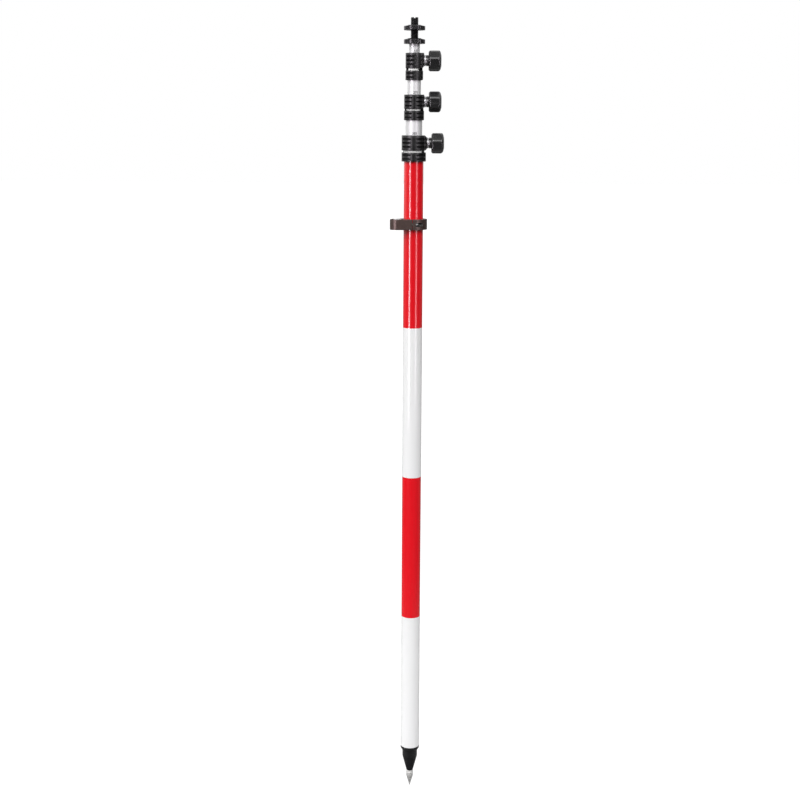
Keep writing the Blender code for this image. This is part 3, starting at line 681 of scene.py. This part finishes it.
def add_label(bm, text, middle, base):
    curve = bpy.data.curves.new("label", "FONT")
    curve.body = text
    curve.align_x = "CENTER"
    curve.size = DIGIT_HEIGHT / FONT_HEIGHT
    curve.offset = DIGIT_OFFSET
    curve.resolution_u = 3
    curve.extrude = 0.5
    obj = bpy.data.objects.new("label", curve)
    mesh = obj.to_mesh()
    mesh.transform(Matrix.Translation((middle, base, 0.5)))
    bm.from_mesh(mesh)
    obj.to_mesh_clear()
    bpy.data.objects.remove(obj, do_unlink=True)


def printed_scale(number, radius, first_height, lowest):
    """The scale, wrapped on its tube: its depth of 0 to 1 becomes the ink's root and face."""
    bm = printed_marks(number, first_height, lowest)
    bmesh.ops.remove_doubles(bm, verts=bm.verts, dist=0.000005)
    reach = math.ceil(SCALE_HALF / INK_COLUMN)
    for column in range(-reach, reach + 1):
        everything = bm.verts[:] + bm.edges[:] + bm.faces[:]
        plane = (column * INK_COLUMN, 0, 0)
        bmesh.ops.bisect_plane(bm, geom=everything, dist=1e-7, plane_co=plane, plane_no=(1, 0, 0))
    for vertex in bm.verts:
        x, height, level = vertex.co
        reach = radius + (INK_THICKNESS if level > 0.5 else -INK_ROOT)
        angle = x / radius - math.pi / 2
        vertex.co = (reach * math.cos(angle), reach * math.sin(angle), height)
    mesh = bpy.data.meshes.new(f"scale_{number}")
    bm.to_mesh(mesh)
    bm.free()
    obj = piece_from(f"scale_{number}", mesh)
    add(obj, f"section_{number}", "anodised_tube", INK)


def inner_tubes():
    for number in (2, 3, 4):
        node, obj, outer, low, _ = tube(number)
        add(obj, f"section_{number}", "anodised_tube", SILVER, node)
        collar_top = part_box(f"clamp_{number - 1}_collar")[1].z
        printed_scale(number, outer, collar_top + SCALE_START, low + SCALE_STOP)


# ---- clamps
def knob_height(number):
    return centre_of(f"clamp_{number}_bushing")


def collar_outline(radius, face=None, boss=None):
    """A ring's outline from above: round, or round with a flat boss towards +X."""
    if face is None:
        count = int(2 * math.pi * radius / OUTLINE_STEP)
        angles = np.linspace(0, 2 * math.pi, count, endpoint=False)
        return radius * np.stack([np.cos(angles), np.sin(angles)], axis=1)
    meets = math.atan2(boss, math.sqrt(radius**2 - boss**2))
    angles = np.linspace(meets, 2 * math.pi - meets, 200)
    arc = radius * np.stack([np.cos(angles), np.sin(angles)], axis=1)
    outline = np.vstack([[(face, 0), (face, boss)], arc, [(face, -boss)]])
    return relaxed(resampled(outline, OUTLINE_STEP), OUTLINE_SMOOTHING)


def groove_weight(x, spine, left, right):
    """How deep the grip grooves are at an X: they fade out at the spine and before the sides."""
    from_spine = max(spine[0] - x, x - spine[1]) / GRIP_RUNOUT
    from_left = (x - left - GRIP_SIDES[0]) / GRIP_SIDES[0]
    from_right = (right - x - GRIP_SIDES[1]) / GRIP_SIDES[1]
    return min(max(min(from_spine, from_left, from_right), 0.0), 1.0)


def grip_rows(low, high, centres, weight, full_depth):
    """(height, inset) rows up a collar's outside, with its rounded edges and its grooves."""
    edge = COLLAR_EDGE
    rows = [(low, edge), (low + edge * 0.3, edge * 0.3), (low + edge, 0)]
    half = GRIP_HALF * (0.2 + 0.8 * weight)
    depth = full_depth * weight
    for centre in centres:
        rows += [(centre - half * offset, depth * share) for offset, share in GRIP_SECTION]
        rows += [(centre + half * offset, depth * share) for offset, share in GRIP_SECTION[::-1]]
    rows += [(low + high - height, inset) for height, inset in reversed(rows[:3])]
    return rows


def collar_ring(name, outline, ends, centres, depth, bores, spine, sides):
    """One ring of a collar; bores are its inner (radius, height) points from the top down, and
    sides are the X where it ends."""
    columns = []
    for point, normal in zip(outline, inward_normals(outline)):
        weight = groove_weight(point[0], spine, *sides)
        rows = grip_rows(*ends, centres, weight, depth)
        out = point / np.hypot(*point)
        outside = [(*(point + normal * inset), height) for height, inset in rows]
        columns.append([*outside, *((*(out * radius), height) for radius, height in bores)])
    return skin(name, columns, sharp=40)


def clamp_collar(number, body):
    """A collar's two rings, the posts between them, and a pale sheet in its slit that paints the
    light on the tube seen through it.
    """
    node = f"clamp_{number}_collar"
    facts = COLLARS[number]
    low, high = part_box(node)
    radius, face = -low.x, high.x
    slit_low = low.z + facts.lower
    slit_high = slit_low + facts.slit
    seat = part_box(tube_node(number))[1].z + GAP
    outer = axis_radii(tube_node(number))[1] + GAP
    bore = axis_radii(tube_node(number + 1))[1] + GAP
    height = knob_height(number)

    circle = collar_outline(radius)
    middle = (low.z + slit_low) / 2
    centres = (middle - GRIP_PITCH / 2, middle + GRIP_PITCH / 2)
    bores = ((bore, slit_low), (bore, seat), (outer, seat), (outer, low.z))
    ends, sides = (low.z, slit_low), (-radius, radius)
    lower = collar_ring("lower", circle, ends, centres, GRIP_DEPTHS[0], bores, facts.spine, sides)
    outline = collar_outline(radius, face, facts.boss)
    centres = (height - GRIP_PITCH, height, height + GRIP_PITCH)
    bores = ((bore + BORE_EDGE, high.z), (bore, high.z - BORE_EDGE), (bore, slit_high))
    ends, sides = (slit_high, high.z), (-radius, face)
    upper = collar_ring("upper", outline, ends, centres, GRIP_DEPTHS[1], bores, facts.spine, sides)

    sleeve_start = bore + PAD_THICKNESS + GAP
    sleeve = BUSHING_SLEEVE_RADIUS + GAP
    cutters = [
        rod_along_x("pad_hole", PAD_RADIUS + GAP, 0.0, face + OVER, 0, height),
        rod_along_x("sleeve_hole", sleeve, sleeve_start, face + OVER, 0, height),
        corner_cutter(face, high.z, facts.top_corner),
        corner_cutter(face, slit_high, -facts.bottom_corner),
    ]
    ring_cutters = [corner_cutter(radius, low.z, -facts.ring_corner)]
    if facts.parting:
        middle = sum(facts.spine) / 2
        near = (middle - PARTING_HALF, -radius - OVER, low.z - OVER)
        far = (middle + PARTING_HALF, -radius + PARTING_DEPTH, high.z + OVER)
        for cutting in (cutters, ring_cutters):
            cutting.append(block("parting", near, far))
    posts = []
    for side in (-1, 1):
        left, right = sorted((side * (bore + POST_START), side * (radius - POST_INSETS[number])))
        near = (left, -POST_HALF, slit_low - POST_OVERLAP)
        posts.append(block("post", near, (right, POST_HALF, slit_high + POST_OVERLAP)))
    # A pale sheet just inside the slit, in place of the lit tube seen through it: painted light.
    slit_light_low, slit_light_high = slit_low + SLIT_LIGHT_GAP, slit_high - SLIT_LIGHT_GAP
    reach = radius - SLIT_LIGHT_INSET
    section = ((bore, slit_light_high), (reach, slit_light_high), (reach, slit_light_low), (bore, slit_light_low))
    slit_light = turned("slit_light", section)
    upper = carved(upper, cutters, sharp=40)
    lower = carved(lower, ring_cutters, sharp=40)
    collar = joined(f"collar_{number}", [lower, upper, *posts, slit_light], 40)
    add(collar, body, "black_plastic", PLASTIC, node)
    collar.data.materials.append(GROOVE_SHADE)
    collar.data.materials.append(NYLON_AND_SLIT_LIGHT)
    pale_from, pale_to = SLIT_LIGHT_ENDS[number]
    # Faces deep in a groove take the darker plastic, painted shade.
    for polygon in collar.data.polygons:
        x, y, z = place = polygon.center
        polygon.material_index = in_groove(place, radius, facts.boss, bore, high.z)
        # The sheet is pale, painted light, only between its ends in X; beyond them it takes the
        # black plastic.
        if slit_light_low - 1e-5 < z < slit_light_high + 1e-5 and math.hypot(x, y) < reach + 0.0001:
            polygon.material_index = 2 if pale_from < x < pale_to else 0


def in_groove(place, radius, boss, bore, top):
    """1 for a face inside a grip groove or the parting slot, which takes the darker plastic as
    painted shade, 0 for one on the outside.
    """
    x, y, z = place
    reach = math.hypot(x, y)
    if x > 0 and abs(y) < boss + 0.001 and reach > radius - 0.001:
        return 0
    skin_depth = radius - reach if x < 0 or abs(y) > boss else boss - abs(y)
    return int(0.0005 < skin_depth and reach > bore + 0.0012 and z < top - 0.0008)


def corner_cutter(x, z, size):
    """A bar that takes a corner off an edge along Y, from below where size is negative."""
    over = math.copysign(2 * OVER, size)
    reach = abs(size) + 2 * abs(over)
    x, z = x + abs(over), z + over
    outline = [(x, z), (x - reach, z), (x, z - math.copysign(reach, size))]
    bar = prism("corner", outline, -0.03, 0.03)
    bar.data.transform(Matrix.Rotation(math.radians(90), 4, "X"))
    return bar


def clamp_bushing(number, body):
    """The pressed-in bushing, whose flange looks like a stack of three rings."""
    node = f"clamp_{number}_bushing"
    low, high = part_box(node)
    radius = half_of(node)
    bore = screw_radius(number) + GAP
    seat = high.x - BUSHING_FLANGE
    third = BUSHING_FLANGE / 3
    second, last = radius - 0.0002, radius - 0.0012
    corners = [
        (bore, low.x), (BUSHING_SLEEVE_RADIUS, low.x, 0.0004), (BUSHING_SLEEVE_RADIUS, seat),
        (radius, seat, 0.0003), (radius, seat + third, 0.0003),
        (radius - 0.0008, seat + third * 1.1), (radius - 0.0008, seat + third * 1.3),
        (second, seat + third * 1.4, 0.0002), (second, seat + third * 2.2, 0.0002),
        (last, seat + third * 2.3), (last, high.x, 0.0003),
        (bore + 0.0005, high.x), (bore, high.x - 0.0005),
    ]
    obj = at_knob(turned(f"bushing_{number}", corners), number)
    add(obj, body, "bright_steel", STEEL, node)


def at_knob(obj, number):
    """Lays a piece made round Z along a clamp's knob."""
    return moved(obj, (0, 0, knob_height(number)), along_x=True)


def screw_radius(number):
    return half_of(f"clamp_{number}_screw")


def pressure_pad(number):
    """The brass pad, with a dished back for the screw's end."""
    node = f"clamp_{number}_pressure_pad"
    low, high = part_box(node)
    radius = half_of(node)
    corners = [
        (0, high.x - 0.0006), (radius * 0.6, high.x - 0.0002),
        (radius, high.x, 0.0004), (radius, low.x, 0.0004), (0, low.x),
    ]
    obj = at_knob(turned(f"pad_{number}", corners), number)
    add(obj, f"pad_{number}", "brass", BRASS, node)


def clamp_screw(number):
    node = f"clamp_{number}_screw"
    low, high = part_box(node)
    sizes = (screw_radius(number), SCREW_THREAD_DEPTH, SCREW_PITCH, low.x, high.x)
    obj = at_knob(threaded(f"screw_{number}", *sizes), number)
    add(obj, f"knob_{number}", "bright_steel", STEEL, node)


def knob_outline():
    """Seven rounded ridges with flats between them that sink a little."""
    half_corner = math.radians(90 - 180 / KNOB_RIDGES)
    corner = KNOB_RIDGE_RADIUS + KNOB_RIDGE_ROUNDING * (1 / math.sin(half_corner) - 1)
    corners = []
    for index in range(KNOB_RIDGES):
        angle = 2 * math.pi * index / KNOB_RIDGES
        corners.append((corner * math.cos(angle), corner * math.sin(angle), KNOB_RIDGE_ROUNDING))
    outline = relaxed(resampled(np.array(softened(corners, closed=True, segments=8)), 0.0008), 2)
    angles = np.arctan2(outline[:, 1], outline[:, 0])
    sunk = KNOB_HOLLOW * (1 - np.cos(KNOB_RIDGES * angles)) / 2
    return outline * (1 - sunk / np.hypot(*outline.T))[:, None]


def clamp_knob(number):
    node = f"clamp_{number}_knob"
    low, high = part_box(node)
    start = low.x + KNOB_HUB
    edge = high.x - KNOB_DOME
    side = start + KNOB_CHAMFER
    top = edge - KNOB_ROUNDING
    hub, small = KNOB_HUB_RADIUS, 0.0004
    neck = [(hub - small, low.x), (hub, low.x + small), (hub, start - small), (hub + 0.0006, start)]
    rows = [(KNOB_CHAMFER, start), (0.0006, side - 0.0003), (0.0, side + 0.0006)]
    rows.append((0.0, side + 0.0016))
    rows += [(0.0, height) for height in np.linspace(edge - KNOB_END[0], top, 6)]
    rows += [(KNOB_ROUNDING * (1 - c), edge - KNOB_ROUNDING * (1 - s)) for s, c in quarter_turn(6)]
    outline = knob_outline()
    columns = []
    for point, normal in zip(outline, inward_normals(outline)):
        out = point / np.hypot(*point)
        column = [(0, 0, low.x), *((*(out * radius), height) for radius, height in neck)]
        for inset, height in rows:
            place = point + normal * inset
            into_end = min(max((height - edge) / KNOB_END[0] + 1, 0.0), 1.0)
            limit = KNOB_RIDGE_RADIUS - KNOB_END[1] * (1 - math.sqrt(1 - into_end**2))
            column.append((*(place * min(1.0, limit / np.hypot(*place))), height))
        column += [(*(out * radius), high.x - depth) for radius, depth in KNOB_FACE]
        columns.append([*column, (0, 0, high.x)])
    knob = skin(f"knob_{number}", columns, on_axis=True, sharp=50)
    hole = rod("blind", screw_radius(number) + GAP, low.x - OVER, low.x + KNOB_BLIND_DEPTH)
    knob = carved(knob, [hole], sharp=50)
    knob.data.transform(Matrix.Rotation(math.radians(270 - KNOB_TURNS[number]), 4, "Z"))
    at_knob(knob, number)
    add(knob, f"knob_{number}", "knob_plastic", KNOB, node)


# ---- head
def ribbed(name, corners, rim):
    """A turned piece whose rim carries upright ribs."""
    on_axis = corners[0][0] == 0
    profile = softened(corners, closed=not on_axis, segments=3)
    count = HEAD_RIBS * HEAD_RIB_STEPS
    columns = []
    for index in range(count):
        phase = math.cos(2 * math.pi * index / HEAD_RIB_STEPS)
        limit = rim - HEAD_RIB_DEPTH * max(0.0, phase) ** HEAD_RIB_CURVE
        cut = [(min(radius, limit), height) for radius, height in profile]
        columns.append(at_angle(cut, 2 * math.pi * index / count))
    return skin(name, columns, on_axis, sharp=45)


def disc_corners(radius, hole, low, high, crown):
    """The section of a head disc: hub, crowned top, rim and underside."""
    rim_top = high - crown
    return [
        (hole, high), (HUB_RADIUS, high, 0.0004), (HUB_RADIUS + 0.0006, high - 0.0007),
        (radius - 0.0007, rim_top + 0.0002), (radius, rim_top, 0.0004), (radius, low, 0.0006),
    ]


def head():
    flange_low, flange_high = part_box("head_flange")
    nut_low, nut_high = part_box("lock_nut")
    stud_low, stud_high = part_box("head_stud")
    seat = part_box("section_4_tube")[1].z + GAP
    rim = flange_high.x
    stud_radius = stud_high.x
    hole = stud_radius + GAP
    plug = axis_radii("section_4_tube")[0] - GAP
    flange = [
        (0, stud_low.z - GAP), (hole, stud_low.z - GAP),
        *disc_corners(rim, hole, seat, flange_high.z, HEAD_CROWN),
        (plug, seat), (plug, flange_low.z, 0.0006), (0, flange_low.z),
    ]
    add(ribbed("flange", flange, rim), "section_4", "black_alloy", BLACK_ALLOY, "head_flange")
    nut = [*disc_corners(rim, hole, nut_low.z, nut_high.z, NUT_CROWN), (hole, nut_low.z)]
    add(ribbed("nut", nut, rim), "lock_nut", "black_alloy", BLACK_ALLOY, "lock_nut")
    sizes = (stud_radius, STUD_THREAD_DEPTH, STUD_PITCH, stud_low.z, stud_high.z)
    stud = threaded("stud", *sizes, 64, flange_high.z - STUD_PLAIN)
    half, reach = STUD_SLOT / 2, stud_radius + OVER
    floor = stud_high.z - STUD_SLOT_DEPTH
    slot = block("slot", (-half, -reach, floor), (half, reach, stud_high.z + OVER))
    add(carved(stud, [slot], sharp=50), "section_4", "black_steel", BLACK_STEEL, "head_stud")


# ---- point and its holder
def point_and_holder():
    low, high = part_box("steel_point")
    shank, shoulder, radius = POINT_SHANK_RADIUS, POINT_SHOULDER, high.x
    neck = radius - 0.0004
    point = [
        (0, high.z), (shank, high.z, 0.0005), (shank, shoulder),
        (radius, shoulder, 0.0007), (radius, shoulder - 0.0032), (neck, shoulder - 0.0036),
        (neck, shoulder - 0.0042), (radius, shoulder - 0.0046), (radius, POINT_CONE, 0.001),
        (0.0009, 0.0022), (0.0004, 0.0004, 0.0003), (0, low.z),
    ]
    add(turned("point", point), "base", "point_steel", POINT_STEEL, "steel_point")
    shank_top = high.z + GAP
    low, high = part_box("tip_holder")
    lip = high.x
    spigot = axis_radii("outer_tube")[0] - GAP
    hollow = spigot - HOLDER_WALL
    hole = POINT_SHANK_RADIUS + GAP
    waist_low, waist_high = HOLDER_WAIST
    lip_low, lip_high = HOLDER_LIP
    holder = [
        (0, lip_high), (hollow, lip_high), (hollow, high.z), (spigot, high.z, 0.0008),
        (spigot, lip_high), (lip, lip_high, 0.0009), (lip, lip_low, 0.0012),
        (HOLDER_WAIST_RADIUS, waist_high, 0.003), (HOLDER_WAIST_RADIUS, waist_low, 0.005),
        (HOLDER_END_RADIUS + 0.0008, low.z, 0.0012), (hole, low.z),
        (hole, shank_top), (0, shank_top),
    ]
    add(turned("holder", holder, TUBE_STEPS), "base", "black_alloy", BLACK_ALLOY, "tip_holder")


# ---- level bracket
def pod_place():
    return Vector([centre_of("level_case", axis) for axis in (0, 1)])


def bracket_outline(ring_radius, pod, pod_radius):
    """Round the pole's ring, along a tangent, round the level's pod and back."""
    towards = math.atan2(pod.y, pod.x)
    lean = math.acos((ring_radius - pod_radius) / pod.length)
    points = []
    for centre, radius, first, span, count in (
        (Vector((0, 0)), ring_radius, towards + lean, 2 * math.pi - 2 * lean, 96),
        (pod, pod_radius, towards - lean, 2 * lean, 48),
    ):
        for index in range(count + 1):
            angle = first + span * index / count
            points.append(tuple(centre + radius * Vector((math.cos(angle), math.sin(angle)))))
    return points


def upright(name, radius, low, high, x, y, flare=0.0):
    return moved(rod(name, radius, low, high, flare=flare), (x, y, 0))


def bracket():
    low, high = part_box("level_bracket")
    screw_low, screw_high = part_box("bracket_clamp_screw")
    pod = pod_place()
    bore = axis_radii("outer_tube")[1] + GAP
    ring = high.x
    outline = bracket_outline(ring, pod, BRACKET_POD_RADIUS)
    body = prism("bracket", outline, low.z, high.z, BRACKET_EDGE)
    top, bottom = high.z + OVER, low.z - OVER
    across, height = (centre_of("bracket_clamp_screw", axis) for axis in (1, 2))
    head_radius = half_of("bracket_clamp_screw")
    head_start = screw_high.x - BRACKET_HEAD
    hole, recess = BRACKET_SCREW_RADIUS + GAP, head_radius + GAP
    pocket = (POCKET_RADIUS, high.z - POCKET_DEPTH, high.z + 0.0006, *pod, POCKET_CHAMFER)
    split = (SPLIT_X - SPLIT / 2, -ring - OVER, bottom), (SPLIT_X + SPLIT / 2, -bore + OVER, top)
    cutters = [
        turned("bore", [(0, top), (bore, top), (bore, bottom), (0, bottom)], TUBE_STEPS),
        upright("pocket", *pocket),
        block("split", *split),
        rod_along_x("hole", hole, screw_low.x - GAP, head_start + OVER, across, height),
        rod_along_x("recess", recess, head_start - GAP, ring, across, height),
    ]
    for number in (1, 2, 3):
        foot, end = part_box(f"level_screw_{number}")
        hole = screw_shank(number) + GAP
        place = level_screw_place(number)
        cutters.append(upright("screw_hole", hole, foot.z - GAP, end.z, *place))
    body = add(carved(body, cutters), "level", "bronze_alloy", BRONZE, "level_bracket")
    body.data.materials.append(BRONZE_RECESS_SHADE)
    # The screw's recess and the split take the darker bronze as painted shade.
    for face in body.data.polygons:
        x, y, z = face.center
        in_recess = x > head_start - 0.001 and math.hypot(y - across, z - height) < recess + 0.0001
        in_split = abs(x - SPLIT_X) < SPLIT and -ring + 0.0012 < y < -bore
        face.material_index = int(in_recess or in_split)

    end, socket, shank = screw_high.x, BRACKET_SOCKET, BRACKET_SCREW_RADIUS
    floor = end - SOCKET_DEPTH
    head = [
        (0, floor - 0.0006), (socket, floor), (socket, end - 0.0003), (socket + 0.0003, end),
        (head_radius, end, 0.0005), (head_radius, head_start, 0.0003),
        (shank, head_start), (shank, screw_low.x, 0.0004), (0, screw_low.x),
    ]
    screw = moved(turned("bracket_screw", head), (0, across, height), along_x=True)
    add(screw, "level", "bright_steel", DARK_STEEL, "bracket_clamp_screw")


def level_screw_place(number):
    return [centre_of(f"level_screw_{number}", axis) for axis in (0, 1)]


def screw_shank(number):
    return half_of(f"level_screw_{number}", 0) * LEVEL_SHANK


def level():
    low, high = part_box("level_case")
    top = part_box("level_bracket")[1].z
    pod = (*pod_place(), 0)
    lens_low, lens_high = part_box("level_lens")
    liquid_low, liquid_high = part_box("level_liquid")
    inner = half_of("level_lens", 0)
    flange = half_of("level_case", 0)
    wall, case = inner + GAP, inner + GAP + CASE_WALL
    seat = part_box("level_screw_1")[1].z - LEVEL_SCREW_HEAD - GAP
    under = seat - CASE_FLANGE
    corners = [
        (0, liquid_low.z - GAP), (wall, liquid_low.z - GAP),
        (wall, high.z, 0.0002), (case, high.z, 0.0003), (case, seat),
        (flange, seat, 0.0003), (flange, under), (case, under), (case, low.z, 0.0003),
        (0, low.z),
    ]
    body = moved(turned("case", corners), pod)
    holes = []
    for number in (1, 2, 3):
        sizes = (screw_shank(number) + GAP, under - 0.001, seat + 0.001)
        holes.append(upright("hole", *sizes, *level_screw_place(number)))
    add(carved(body, holes), "level", "bright_steel", STEEL, "level_case")

    roof = liquid_high.z
    bubble = [(BUBBLE_RADIUS * s, roof - BUBBLE_DEPTH * c) for s, c in quarter_turn(6)]
    rest = ((inner, roof, 0.0002), (inner, liquid_low.z), (0, liquid_low.z))
    fill = turned("liquid", [(0, roof - BUBBLE_DEPTH), *bubble, *rest])
    add(moved(fill, pod), "level", "level_liquid", LIQUID, "level_liquid")

    dome = [(inner * s, top + (lens_high.z - top) * c) for s, c in quarter_turn(12)]
    lens = turned("lens", [(0, lens_high.z), *dome, (inner, lens_low.z), (0, lens_low.z)])
    add(moved(lens, pod), "level", "lens", LENS, "level_lens")
    ring, rim = CENTRE_RING
    print_low, print_high = (lens_low.z + height for height in CENTRE_RING_HEIGHTS)
    section = [(ring, print_low), (rim, print_low), (rim, print_high), (ring, print_high)]
    add(moved(turned("centre_ring", section), pod), "level", "lens", INK)

    for number in (1, 2, 3):
        node = f"level_screw_{number}"
        low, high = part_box(node)
        radius, shank = half_of(node, 0), screw_shank(number)
        seat = high.z - LEVEL_SCREW_HEAD
        corners = [
            (0, high.z), (radius, high.z, 0.0003), (radius, seat),
            (shank, seat), (shank, low.z, 0.0003), (0, low.z),
        ]
        screw = turned(f"small_screw_{number}", corners, FINE_STEPS)
        arms = []
        for x, y in ((radius * CROSS_REACH, CROSS_HALF), (CROSS_HALF, radius * CROSS_REACH)):
            arms.append(block("arm", (-x, -y, high.z - CROSS_DEPTH), (x, y, high.z + 0.001)))
        screw = moved(carved(screw, arms), (*level_screw_place(number), 0))
        add(screw, "level", "bright_steel", STEEL, node)


# ---- studio
def floor():
    """A pale floor, which glows for the camera alone so that it meets the white beyond it."""
    slab = block("floor", *FLOOR_CORNERS)
    finish = Finish("floor_white", FLOOR_FAR, 0.9)
    x = shader_node(finish.tree, "SeparateXYZ", {"Vector": finish.place}, "X")
    y = x.node.outputs["Y"]
    place = {0: finish.place}
    distance = shader_node(finish.tree, "VectorMath", place, "Value", operation="LENGTH")
    # Lighter tones near the pole's foot, at its sides and behind it: painted light that the floor
    # throws back onto the pole.
    near = finish.ranged(distance, *FLOOR_NEAR_END, 1.0, 0.0)
    sides = finish.times(near, finish.ranged(finish.times(x, x), *FLOOR_SIDES_START, 0.0, 1.0))
    finish.tinted(FLOOR_BACK_LIGHT, y, *FLOOR_BACK_START, 0.0, 1.0)
    finish.tinted(FLOOR_NEAR_LIGHT_POOL, near)
    finish.tinted(FLOOR_SIDE_LIGHT_POOL, sides)
    finish.shader.inputs["Emission Color"].default_value = (1, 1, 1, 1)
    seen = shader_node(finish.tree, "LightPath", {}, "Is Camera Ray")
    glow = finish.ranged(seen, 0.0, 1.0, 0.0, FLOOR_GLOW)
    finish.tree.links.new(glow, finish.shader.inputs["Emission Strength"])
    slab.data.materials.append(finish.material)


def strip_light(name, bearing, distance, width, power):
    """A tall soft light at a bearing from the front of the pole, positive towards +X."""
    light = bpy.data.lights.new(name, "AREA")
    light.shape = "RECTANGLE"
    light.size = width
    light.size_y = STRIP_SPAN[1] - STRIP_SPAN[0]
    light.energy = power
    light.color = STRIP_COLOUR
    obj = placed(name, light)
    angle = math.radians(bearing)
    obj.location = (distance * math.sin(angle), -distance * math.cos(angle), sum(STRIP_SPAN) / 2)
    obj.rotation_euler = (math.radians(90), 0, math.radians(bearing))
    obj.visible_camera = False
    obj.visible_diffuse = False


def studio_world():
    """White where the camera looks past the pole. What lights the pole is a soft room: bright
    overhead, above all on its left, dim at the horizon in front and light behind the pole."""
    world = bpy.data.worlds.new("studio")
    world.use_nodes = True
    bpy.context.scene.world = world
    tree = world.node_tree
    direction = shader_node(tree, "TexCoord", {}, "Generated")

    def graded(towards, blend, to_range, curve="LINEAR"):
        aim = {0: direction, 1: Vector(towards).normalized()}
        aimed = shader_node(tree, "VectorMath", aim, "Value", operation="DOT_PRODUCT")
        return map_range(tree, aimed, (*blend, *to_range), curve)

    def mixed(share, one, other):
        inputs = {"Factor": share, "A": one, "B": other}
        return shader_node(tree, "Mix", inputs, "Result")

    up, whole = (0, 0, 1), (0.0, 1.0)
    horizon = graded(HORIZON_DIRECTION, HORIZON_BLEND, HORIZON_RANGE)
    overhead = graded(OVERHEAD_DIRECTION, OVERHEAD_BLEND, OVERHEAD_RANGE)
    zenith = graded((0, 1, 0), ZENITH_BLEND, ZENITH_RANGE)
    overhead = mixed(graded(up, OVERHEAD_END, whole, "SMOOTHSTEP"), overhead, zenith)
    room = mixed(graded(up, OVERHEAD_START, whole, "SMOOTHSTEP"), horizon, overhead)
    seen = shader_node(tree, "LightPath", {}, "Is Camera Ray")
    background = tree.nodes["Background"]
    background.inputs["Color"].default_value = (1, 1, 1, 1)
    tree.links.new(mixed(seen, room, 1.0), background.inputs["Strength"])


def camera():
    data = bpy.data.cameras.new("camera")
    data.lens = CAMERA_LENS
    data.sensor_width = CAMERA_SENSOR
    obj = placed("camera", data)
    pitch = Matrix.Rotation(math.radians(90 - CAMERA_PITCH), 4, "X")
    roll = Matrix.Rotation(math.radians(CAMERA_ROLL), 4, "Z")
    obj.matrix_world = Matrix.Translation(CAMERA_PLACE) @ pitch @ roll
    bpy.context.scene.camera = obj


# ---- the whole pole
painted_tube()
inner_tubes()
for number, body in ((1, "base"), (2, "section_2"), (3, "section_3")):
    clamp_collar(number, body)
    clamp_bushing(number, body)
    pressure_pad(number)
    clamp_screw(number)
    clamp_knob(number)
head()
point_and_holder()
bracket()
level()
for number in (2, 3, 4):
    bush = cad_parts[f"section_{number}_guide_bush"]
    bush.material_slots[0].material = NYLON_AND_SLIT_LIGHT

floor()
for strip in LIGHTS:
    strip_light(*strip)
studio_world()
camera()
bpy.context.scene.view_settings.view_transform = "Standard"
